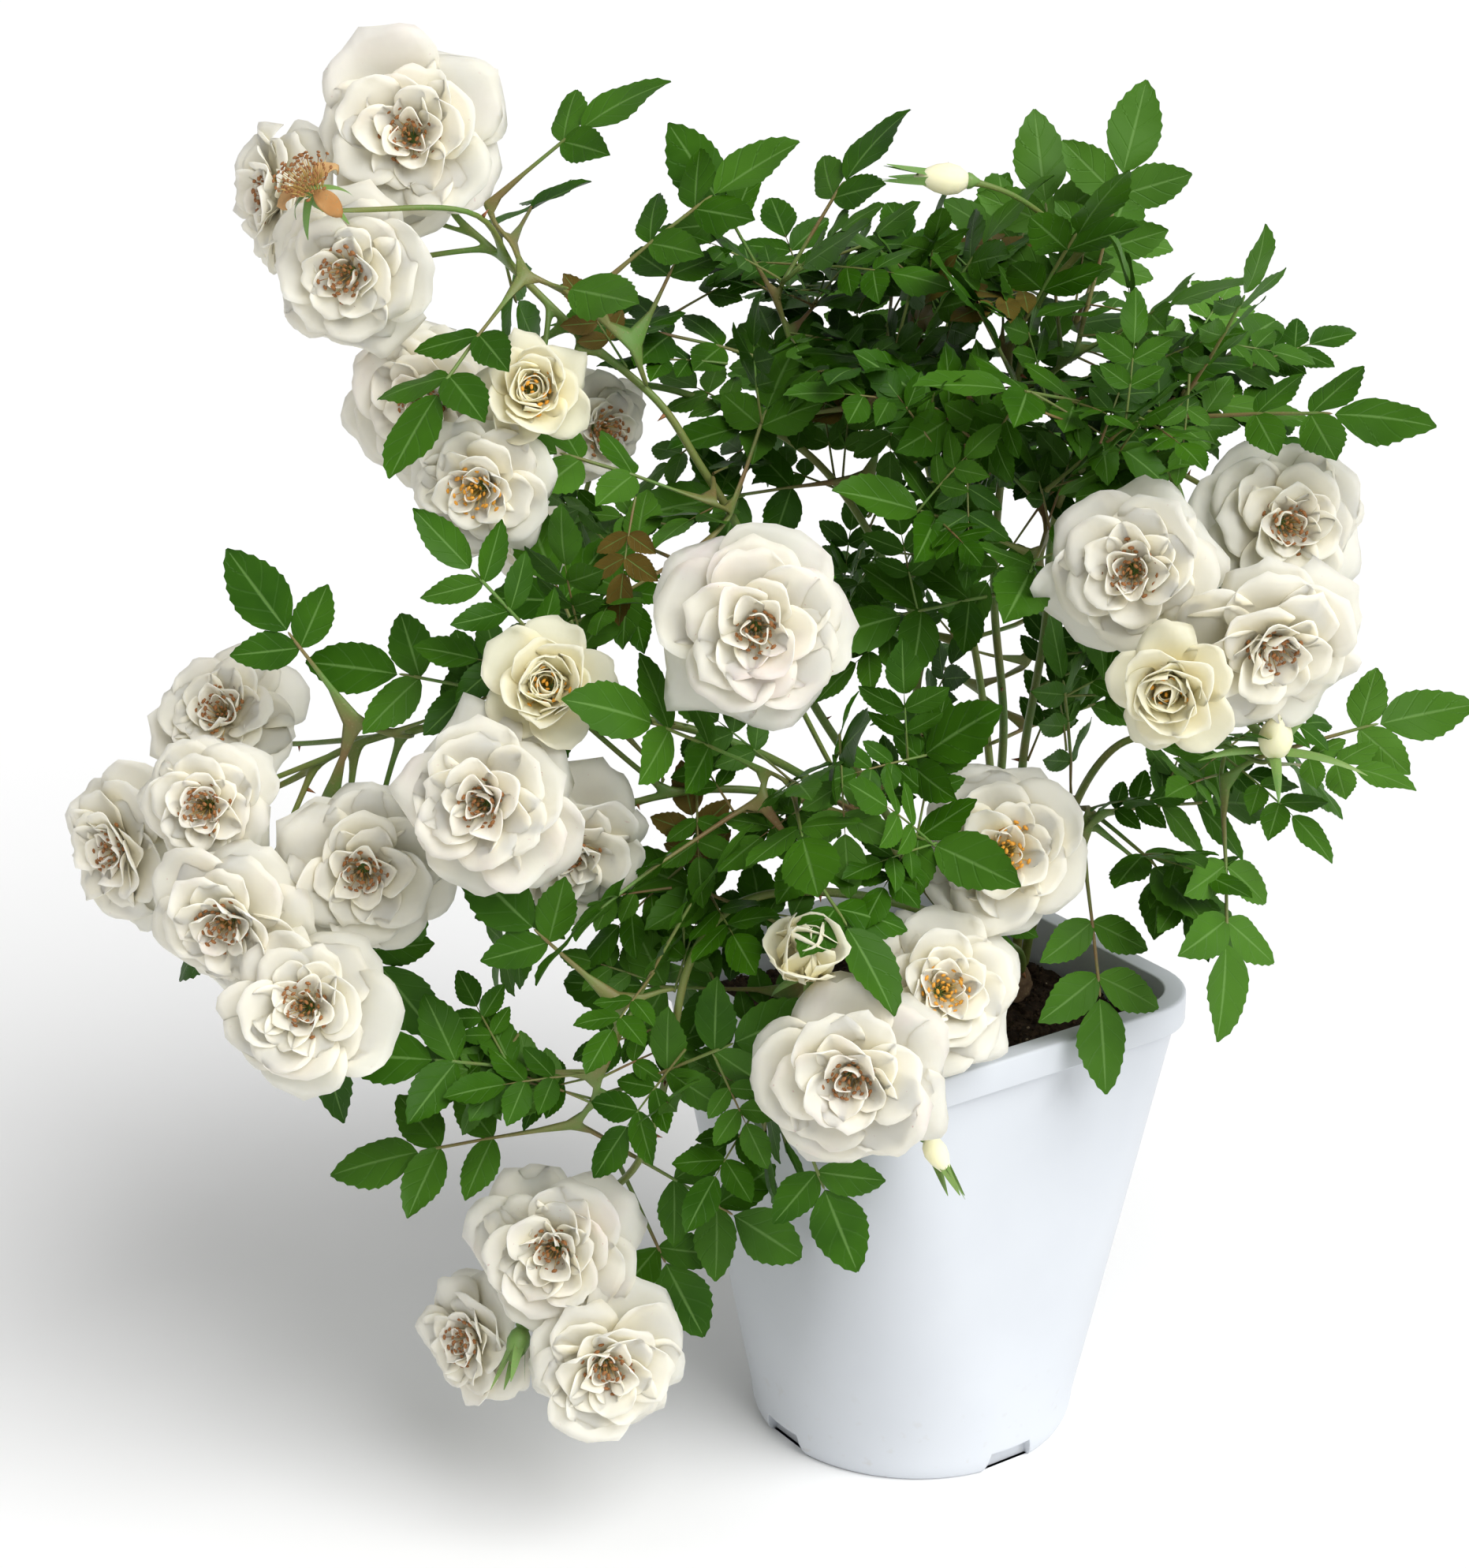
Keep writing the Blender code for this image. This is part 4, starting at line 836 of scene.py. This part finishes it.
def leaflet_variant(name, fold, droop, twist, wave):
    """A closed serrated leaflet, one metre long and wide: an upper and a lower side."""
    v = np.linspace(0, 1, LEAF_ROWS + 1)[:, None]
    outline = np.sin(np.pi * np.clip(v, 0.012, 0.992) ** 0.86) ** 0.78 * (1 - 0.10 * v)
    tooth = (np.arange(LEAF_ROWS + 1) % 2)[:, None]
    around = np.array([[-1.0, 0.0, 1.0, 0.0]])
    below = np.array([[0.0, 0.0, 0.0, 1.0]])
    rim = np.abs(around)
    x = 0.5 * around * outline * (1 - 0.060 * tooth * rim)
    y = v + 0.020 * (1 - tooth) * rim * (v < 0.97)
    flat = np.abs(x)
    z = fold * flat - droop * v ** 2 + droop * 0.4 * v - 0.45 * flat ** 2
    z = z + twist * x * v + wave * np.sin(v * 9 + around * 0.8) * flat
    z = z - 0.012 * (1 - rim) - LEAF_THICK * below * (1 - v)
    sheets = Sheets()
    sheets.grid(np.stack([x, y, z], axis=-1), closed=True)
    mesh = sheets.mesh(name)
    for loop in mesh.loops:
        corner = loop.vertex_index % 4
        row = loop.vertex_index // 4
        mesh.uv_layers[0].data[loop.index].uv = ((0.0, 0.5, 1.0, 0.5)[corner],
                                                 row / LEAF_ROWS)
    bm = bmesh.new()
    bm.from_mesh(mesh)
    bmesh.ops.recalc_face_normals(bm, faces=bm.faces)
    bm.to_mesh(mesh)
    bm.free()
    return bpy.data.objects.new(name, mesh)


def leaf_tree():
    """Leaflets on points, each turned and sized by what is painted on its point."""
    tree, given, out = new_group(
        "leaflets", "GeometryNodeTree",
        {"Geometry": ("NodeSocketGeometry", None), "Blades": ("NodeSocketCollection", None),
         "Finish": ("NodeSocketMaterial", None)}, {"Geometry": "NodeSocketGeometry"})
    kinds = add_node(tree, "GeometryNodeCollectionInfo",
                     {"Collection": given.outputs["Blades"], "Separate Children": True,
                      "Reset Children": True})
    turn = add_node(tree, "GeometryNodeInputNamedAttribute", {"Name": "turn"},
                    data_type="FLOAT_VECTOR")
    size = add_node(tree, "GeometryNodeInputNamedAttribute", {"Name": "size"},
                    data_type="FLOAT_VECTOR")
    kind = add_node(tree, "GeometryNodeInputNamedAttribute", {"Name": "kind"},
                    data_type="INT")
    each = add_node(tree, "GeometryNodeInstanceOnPoints",
                    {"Points": given.outputs["Geometry"], "Instance": kinds.outputs[0],
                     "Pick Instance": True, "Instance Index": kind.outputs[0],
                     "Rotation": turn.outputs[0], "Scale": size.outputs[0]})
    return end_tree(tree, given, out, each)


BLADES = bpy.data.collections.new("blades")
for number, shape in enumerate([(0.16, 0.10, 0.10, 0.03), (0.26, 0.16, -0.12, 0.05),
                                (0.10, 0.06, 0.05, 0.04), (0.20, 0.24, 0.15, 0.04),
                                (0.32, 0.12, -0.05, 0.03), (0.05, 0.18, -0.18, 0.06)]):
    BLADES.objects.link(leaflet_variant(f"blade_{number}", *shape))
LEAFLETS = leaf_tree()


def blade_mesh(leaflets, rng):
    """The leaf blades of a list of (base, along, normal, length, width, young, bronze)."""
    mesh = bpy.data.meshes.new("points")
    mesh.from_pydata([leaf[0] for leaf in leaflets], [], [])
    turns, sizes, kinds, young, bronze = [], [], [], [], []
    for _, along, normal, length, width, pale, brown in leaflets:
        side = along.cross(normal)
        turns += Matrix((side, along, normal)).transposed().to_euler()[:]
        sizes += [width, length, length]
        kinds.append(int(rng.integers(0, len(BLADES.objects))))
        young.append(pale)
        bronze.append(brown)
    for key, kind, values, field in (("turn", "FLOAT_VECTOR", turns, "vector"),
                                     ("size", "FLOAT_VECTOR", sizes, "vector"),
                                     ("kind", "INT", kinds, "value"),
                                     ("young", "FLOAT", young, "value"),
                                     ("bronze", "FLOAT", bronze, "value")):
        mesh.attributes.new(key, kind, "POINT").data.foreach_set(field, values)
    return run_tree(LEAFLETS, mesh, {"Blades": BLADES, "Finish": FINISHES["leaf"]})


def add_blades(name, leaflets, rng):
    """The leaf blades as a piece, creased where the upper side meets the lower."""
    mesh = blade_mesh(leaflets, rng)
    piece = add_piece(name, mesh, "leaf")
    mesh.set_sharp_from_angle(angle=math.radians(70))
    return piece


def tube_cage(bm, fatten):
    """Turns merged triangles back to quads, and stands the skin out a little."""
    bmesh.ops.join_triangles(bm, faces=bm.faces, angle_face_threshold=0.7,
                             angle_shape_threshold=3.1)
    bm.normal_update()
    for v in bm.verts:
        v.co += v.normal * fatten
    return bm


def build_shoot(node, seed):
    """A shoot's leaflets, each from its CAD blade, and its stalks."""
    rng = np.random.default_rng(500 + seed)
    bm = cad_copy(node)
    leaflets = []
    pale = PALE_SHOOTS.get(node, PALE)
    for base, along, normal, length, width in read_leaflets(bm):
        young = min(1.0, max(0.0, stepped(rng, pale, 0.25)))
        leaflets.append((base, along, normal, length * 1.04, width * 1.06, young, 0.0))
    blades = add_blades(node + "_blades", leaflets, rng)
    stalks = add_piece(node + "_stalks", subdivided(tube_cage(bm, 0.0001), 1), "twig")
    finished(blades, "leaf", node)
    finished(stalks, "green_cane")


# ------------------------------------------------------------------- canes
def thorn_tree():
    """Thorns scattered on a cane's bark, square to it."""
    tree, given, out = new_group(
        "thorns", "GeometryNodeTree",
        {"Geometry": ("NodeSocketGeometry", None), "Density": ("NodeSocketFloat", 900.0),
         "Length": ("NodeSocketFloat", 0.005), "Seed": ("NodeSocketInt", 1),
         "Finish": ("NodeSocketMaterial", None)}, {"Geometry": "NodeSocketGeometry"})
    seats = add_node(tree, "GeometryNodeDistributePointsOnFaces",
                     {"Mesh": given.outputs["Geometry"],
                      "Density": given.outputs["Density"], "Seed": given.outputs["Seed"]})
    thorn = add_node(tree, "GeometryNodeMeshCone",
                     {"Vertices": 6, "Side Segments": 2, "Radius Top": 0.00004,
                      "Radius Bottom": 0.0010, "Depth": given.outputs["Length"]})
    each = add_node(tree, "GeometryNodeInstanceOnPoints",
                    {"Points": seats.outputs[0], "Instance": thorn.outputs[0],
                     "Rotation": seats.outputs[2],
                     "Scale": random_size(tree, given, 0.55, 1.0)})
    return end_tree(tree, given, out, each)


THORNS = thorn_tree()


def build_cane(node, seed):
    """A cane's bark, and its thorns where any fall."""
    mesh = subdivided(tube_cage(cad_copy(node), 0.00030), 2)
    stalk = add_piece(node + "_bark", mesh, "cane")
    finished(stalk, "green_cane", node)
    thorns = run_tree(THORNS, mesh.copy(), {"Density": 1500.0, "Length": 0.0040,
                                            "Seed": seed, "Finish": FINISHES["thorn"]})
    if thorns.vertices:
        finished(add_piece(node + "_thorns", thorns, "thorn"), "green_cane")


# ------------------------------------------------------------ small leaves
def bloom_faces():
    """The space in front of each bloom, which small leaves keep out of."""
    return [(*bloom_seat(node)[:3],) for node in frame["nodes"]
            if node.startswith("bloom_")]


def is_clear(place, faces, low, high):
    """Whether a leaf may be here: inside the box, off the pot and not over a bloom."""
    if any(not low[k] < place[k] < high[k] for k in range(3)):
        return False
    if math.hypot(place.x, place.y) < POT_TOP * 0.68 and place.z < POT_HEIGHT + 0.004:
        return False
    for middle, look, radius in faces:
        gap = place - middle
        ahead = gap.dot(look)
        aside = (gap - look * ahead).length
        if -0.022 < ahead < 0.10 and aside < radius * 0.95 + 0.002:
            return False
    return True


def in_bush(place):
    return any(sum(((place[k] - middle[k]) / half[k]) ** 2 for k in range(3)) < 1
               for middle, half in BUSH)


def build_small_leaves():
    """Young compound leaves from the canes and twigs, where the bush has room."""
    rng = np.random.default_rng(7)
    low, high = (Vector(corner) for corner in cad_box)
    faces = bloom_faces()
    skins = [node for node in frame["nodes"] if node.startswith(("cane_", "leaves_"))]
    starts = []
    for node in sorted(skins):
        data = frame["nodes"][node].data
        starts += [data.vertices[k].co.copy() for k in range(0, len(data.vertices), 9)]
    leaflets = []
    stalks = Sheets()
    made = 0
    for k in rng.permutation(len(starts)):
        start = starts[k]
        if made >= SMALL_LEAVES or not in_bush(start):
            continue
        outward = Vector((start.x - 0.01, start.y + 0.02, 0)).normalized()
        way = Vector(rng.normal(size=3)) * 0.8 + outward * 0.5 + Vector((0, -0.15, 0.25))
        way.normalize()
        blade = rng.uniform(0.017, 0.027)
        whole = blade * 2.5
        normal = square_to(way, Vector((0, -0.45, 0.8)) + outward * 0.3)
        side = normal.cross(way)

        def rachis(share):
            return start + way * (share * whole) - normal * (0.12 * whole * share ** 2)
        if not all(is_clear(rachis(share), faces, low, high) for share in (0.3, 0.7, 1.0)):
            continue
        if not all(is_clear(rachis(0.6) + side * (turn * blade), faces, low, high)
                   for turn in (-1, 1)):
            continue
        young = float(np.clip(rng.normal(0.18, 0.25), 0, 1))
        bronze = 0.75 if rng.random() < 0.04 else 0.0
        tube(stalks, [rachis(s) for s in np.linspace(0, 0.62, 6)],
             [0.0006, 0.00055, 0.0005, 0.00045, 0.0004, 0.0001], 5)
        for share, scale in ((0.30, 0.72), (0.48, 0.86)):
            for turn in (-1, 1):
                out = (side * turn * 0.86 + way * 0.5).normalized()
                leaflets.append((rachis(share), out, square_to(out, normal), blade * scale,
                                 blade * scale * 0.60, young, bronze))
        end = (rachis(0.9) - rachis(0.6)).normalized()
        leaflets.append((rachis(0.6), end, square_to(end, normal), blade, blade * 0.62,
                         young, bronze))
        made += 1
    finished(add_blades("small_leaves_blades", leaflets, rng), "leaf")
    finished(add_piece("small_leaves_stalks", stalks.mesh("stalks"), "twig"), "green_cane")


# --------------------------------------------------------------------- pot
def pot_outline(half, corner, z, count=POT_RING):
    """A square with rounded corners; with corner == half it is a circle."""
    points = []
    core = half - corner
    for k in range(count):
        angle = math.tau * k / count
        c = abs(math.cos(angle))
        s = abs(math.sin(angle))
        c, s = max(c, s), min(c, s)
        if half * s / c <= core:
            reach = half / c
        else:
            reach = core * (c + s) + math.sqrt(corner ** 2 - core ** 2 * (1 - 2 * c * s))
        points.append((reach * math.cos(angle + POT_TURN),
                       reach * math.sin(angle + POT_TURN), z))
    return points


def side_at(z, inset):
    """Half width and corner radius of the pot's side at a height."""
    low = POT_BASE / 2 + 0.0045
    top = POT_TOP / 2 - RIM_OVERHANG
    share = max(0.0, (z - FOOT_CURVE) / (POT_HEIGHT - RIM_DEPTH - FOOT_CURVE))
    corner = low + (RIM_CORNER - RIM_OVERHANG - low) * share
    return low + (top - low) * share - inset, corner - inset


def lofted(rings):
    """A closed mesh over rings that run from the middle of one face to the other."""
    bm = bmesh.new()
    loops = [[bm.verts.new(p) for p in ring] for ring in rings]
    for low, high in zip(loops, loops[1:]):
        count = len(low)
        for k in range(count):
            bm.faces.new((low[k], low[(k + 1) % count], high[(k + 1) % count], high[k]))
    bm.faces.new(list(reversed(loops[0])))
    bm.faces.new(loops[-1])
    return bm


def build_pot():
    """The moulded pot: notched foot, tapering side, turned-down rim and inner ledge."""
    half = POT_TOP / 2
    under = POT_HEIGHT - RIM_DEPTH
    round_edge = 0.0014
    inner = half - RIM_WIDTH
    foot = POT_BASE / 2
    rings = []
    for k in range(7):
        a = math.pi / 2 * k / 6
        reach = foot + (side_at(FOOT_CURVE, 0)[0] - foot) * math.sin(a)
        rings.append(pot_outline(reach, reach, FOOT_CURVE * (1 - math.cos(a))))
    for k in range(1, 13):
        z = FOOT_CURVE + (under - FOOT_CURVE) * k / 12
        rings.append(pot_outline(*side_at(z, 0), z))
    rings.append(pot_outline(half - 0.0006, RIM_CORNER, under))
    rings.append(pot_outline(half, RIM_CORNER, under + 0.0006))
    for k in range(5):
        a = math.pi / 2 * k / 4
        rings.append(pot_outline(half - round_edge * (1 - math.cos(a)), RIM_CORNER,
                                 POT_HEIGHT - round_edge * (1 - math.sin(a))))
    inner_corner = RIM_CORNER - RIM_WIDTH
    for k in range(4):
        a = math.pi / 2 * k / 3
        rings.append(pot_outline(inner + 0.0008 * (1 - math.sin(a)), inner_corner,
                                 POT_HEIGHT - 0.0008 * (1 - math.cos(a))))
    ledge = POT_HEIGHT - 2 * RIM_DEPTH
    rings.append(pot_outline(inner, inner_corner, under))
    rings.append(pot_outline(*side_at(ledge, POT_WALL), ledge))
    for z in (0.12, 0.06, FOOT_CURVE):
        rings.append(pot_outline(*side_at(z, POT_WALL), z))
    rings.append(pot_outline(*side_at(0, 2 * NOTCH_DEPTH), FOOT_CURVE))
    rings.append(pot_outline(*side_at(0, 2 * NOTCH_DEPTH), POT_FLOOR))
    pot = add_piece("pot_shell", as_mesh(lofted(rings), "pot"), "pot")
    cuts = bmesh.new()
    for k in range(4):
        angle = POT_TURN + math.tau * k / 4
        place = Matrix.Rotation(angle, 4, "Z") @ Matrix.Translation(
            (side_at(FOOT_CURVE, 0)[0], 0, 0))
        size = Matrix.Diagonal((2 * NOTCH_DEPTH, NOTCH_WIDTH, 2 * NOTCH_HEIGHT, 1))
        made = bmesh.ops.create_cube(cuts, size=1, matrix=place @ size)
        inward = place.inverted()
        for v in made["verts"]:
            local = inward @ v.co
            if v.co.z < 0:
                local.y *= 1.45
            v.co = place @ local
        turn = Matrix.Rotation(angle + math.tau / 8, 4, "Z")
        bmesh.ops.create_cone(cuts, cap_ends=True, segments=24, radius1=DRAIN_HOLE / 2,
                              radius2=DRAIN_HOLE / 2, depth=4 * POT_FLOOR,
                              matrix=turn @ Matrix.Translation((DRAIN_CIRCLE, 0, 0)))
    cutter = placed("cuts", as_mesh(cuts, "cuts"))
    tool = pot.modifiers.new("foot cuts", "BOOLEAN")
    tool.operation = "DIFFERENCE"
    tool.object = cutter
    soft = pot.modifiers.new("soft edges", "BEVEL")
    soft.width = 0.0005
    soft.segments = 2
    soft.limit_method = "ANGLE"
    soft.angle_limit = math.radians(40)
    shape = baked(pot)
    remove(pot)
    remove(cutter)
    shell = add_piece("pot_shell", shape, "pot")
    shape.set_sharp_from_angle(angle=math.radians(35))
    finished(shell, "pot_plastic", "pot")


# -------------------------------------------------------------------- soil
def soil_height(x, y):
    """Lumpy soil: broad swells, with finer ones on them."""
    broad = math.sin(x * 210 + 1) * math.cos(y * 170) + 0.6 * math.sin(x * 90 - y * 330)
    fine = noise.fractal(Vector((x * 150, y * 150, 3.0)), 0.6, 2.1, 5)
    return SOIL_LEVEL + 0.0012 * broad + 0.0020 * fine


def scatter_tree():
    """Lumps scattered over upward faces, each with its own turn and size."""
    tree, given, out = new_group(
        "scatter", "GeometryNodeTree",
        {"Geometry": ("NodeSocketGeometry", None), "Density": ("NodeSocketFloat", 60000.0),
         "Size": ("NodeSocketVector", (0.001, 0.001, 0.001)),
         "Least": ("NodeSocketFloat", 0.3), "Seed": ("NodeSocketInt", 1),
         "Finish": ("NodeSocketMaterial", None)}, {"Geometry": "NodeSocketGeometry"})
    normal = add_node(tree, "GeometryNodeInputNormal")
    up = add_node(tree, "ShaderNodeSeparateXYZ", {0: normal.outputs[0]})
    level = add_node(tree, "FunctionNodeCompare", {0: up.outputs[2], 1: 0.3},
                     data_type="FLOAT", operation="GREATER_THAN")
    seats = add_node(tree, "GeometryNodeDistributePointsOnFaces",
                     {"Mesh": given.outputs["Geometry"], "Selection": level.outputs[0],
                      "Density": given.outputs["Density"], "Seed": given.outputs["Seed"]})
    ball = add_node(tree, "GeometryNodeMeshIcoSphere", {"Radius": 1.0, "Subdivisions": 1})
    shaped = add_node(tree, "GeometryNodeTransform", {"Geometry": ball.outputs[0],
                                                      "Scale": given.outputs["Size"]})
    turn = add_node(tree, "FunctionNodeRandomValue",
                    {"Min": (0, 0, 0), "Max": (6.28, 6.28, 6.28),
                     "Seed": given.outputs["Seed"]}, data_type="FLOAT_VECTOR")
    each = add_node(tree, "GeometryNodeInstanceOnPoints",
                    {"Points": seats.outputs[0], "Instance": shaped.outputs[0],
                     "Rotation": turn.outputs[0],
                     "Scale": random_size(tree, given, given.outputs["Least"], 1.0)})
    return end_tree(tree, given, out, each)


def build_soil():
    """The soil's lumpy bed, with crumbs, clods, flecks and fibres on it."""
    depth = 0.020
    half, corner = side_at(SOIL_LEVEL, SOIL_GAP)
    half, corner = half - RIM_WIDTH + RIM_OVERHANG, corner - RIM_WIDTH + RIM_OVERHANG
    rings = [pot_outline(half - 0.001, corner, SOIL_LEVEL - depth)]
    for share in [1.0, *np.linspace(0.985, 0.04, 34)]:
        rings.append([(x, y, soil_height(x, y)) for x, y, _ in
                      pot_outline(half * share, corner * share, 0)])
    mesh = as_mesh(lofted(rings), "soil")
    bed = add_piece("soil_bed", mesh, "soil")
    finished(bed, "soil", "soil")
    tree = scatter_tree()
    for name, density, size, least, seed, finish in (
            ("soil_crumbs", 90000, (0.0016, 0.0013, 0.0011), 0.25, 3, "crumb"),
            ("soil_clods", 6000, (0.0042, 0.0036, 0.0026), 0.4, 4, "soil"),
            ("soil_flecks", 2600, (0.0012, 0.0010, 0.0008), 0.4, 5, "fleck"),
            ("soil_fibres", 5000, (0.0060, 0.0003, 0.0003), 0.3, 6, "crumb")):
        lumps = run_tree(tree, mesh.copy(), {"Density": density, "Size": size,
                                             "Least": least, "Seed": seed,
                                             "Finish": FINISHES[finish]})
        finished(add_piece(name, lumps, finish), "soil")


def build_crown():
    """The woody base, with rough bark."""
    mesh = subdivided(tube_cage(cad_copy("crown"), 0.0002), 3)
    for v in mesh.vertices:
        v.co += v.normal * (0.0012 * noise.fractal(v.co * 260, 0.7, 2.0, 4))
    finished(add_piece("crown_bark", mesh, "bark"), "woody_bark", "crown")


# ------------------------------------------------------------------- stage
def build_stage():
    """The pale floor, the soft light and the camera."""
    mesh = bpy.data.meshes.new("floor")
    mesh.from_pydata([(-FLOOR, -FLOOR, 0), (FLOOR, -FLOOR, 0), (FLOOR, FLOOR, 0),
                      (-FLOOR, FLOOR, 0)], [], [(0, 1, 2, 3)])
    floor = placed("floor", mesh)
    paper = bpy.data.materials.new("floor_pale")
    paper.use_nodes = True
    shader = paper.node_tree.nodes["Principled BSDF"]
    shader.inputs["Base Color"].default_value = (0.93, 0.93, 0.93, 1)
    shader.inputs["Roughness"].default_value = 0.9
    mesh.materials.append(paper)

    world = bpy.data.worlds.new("soft_sky")
    world.use_nodes = True
    sky = world.node_tree.nodes["Background"]
    sky.inputs["Color"].default_value = (1, 1, 1, 1)
    sky.inputs["Strength"].default_value = SKY
    bpy.context.scene.world = world
    bpy.context.scene.view_settings.view_transform = "Standard"
    lamp = bpy.data.lights.new("key", "SUN")
    lamp.energy = SUN
    lamp.angle = SUN_ANGLE
    key = placed("key", lamp)
    key.rotation_euler = (-facing(*SUN_FROM)).to_track_quat("-Z", "Y").to_euler()

    lens = bpy.data.cameras.new("camera")
    lens.lens = LENS
    lens.sensor_width = SENSOR
    camera = placed("camera", lens)
    camera.location = CAMERA
    camera.rotation_euler = Euler((math.pi / 2 - CAMERA_PITCH, 0, -CAMERA_YAW), "XYZ")
    bpy.context.scene.camera = camera


# -------------------------------------------------------------------- make
build_stage()
build_pot()
build_soil()
build_crown()
names = sorted(frame["nodes"])
for number, node in enumerate(names):
    if node.startswith("bloom_"):
        build_bloom(node, number)
    elif node.startswith("leaves_"):
        build_shoot(node, number)
    elif node.startswith("cane_"):
        build_cane(node, number)
for number, (name, bud) in enumerate(TIP_BUDS.items()):
    build_tip_bud(name, *bud, number)
build_small_leaves()
for blade in list(BLADES.objects):
    remove(blade)
bpy.data.collections.remove(BLADES)
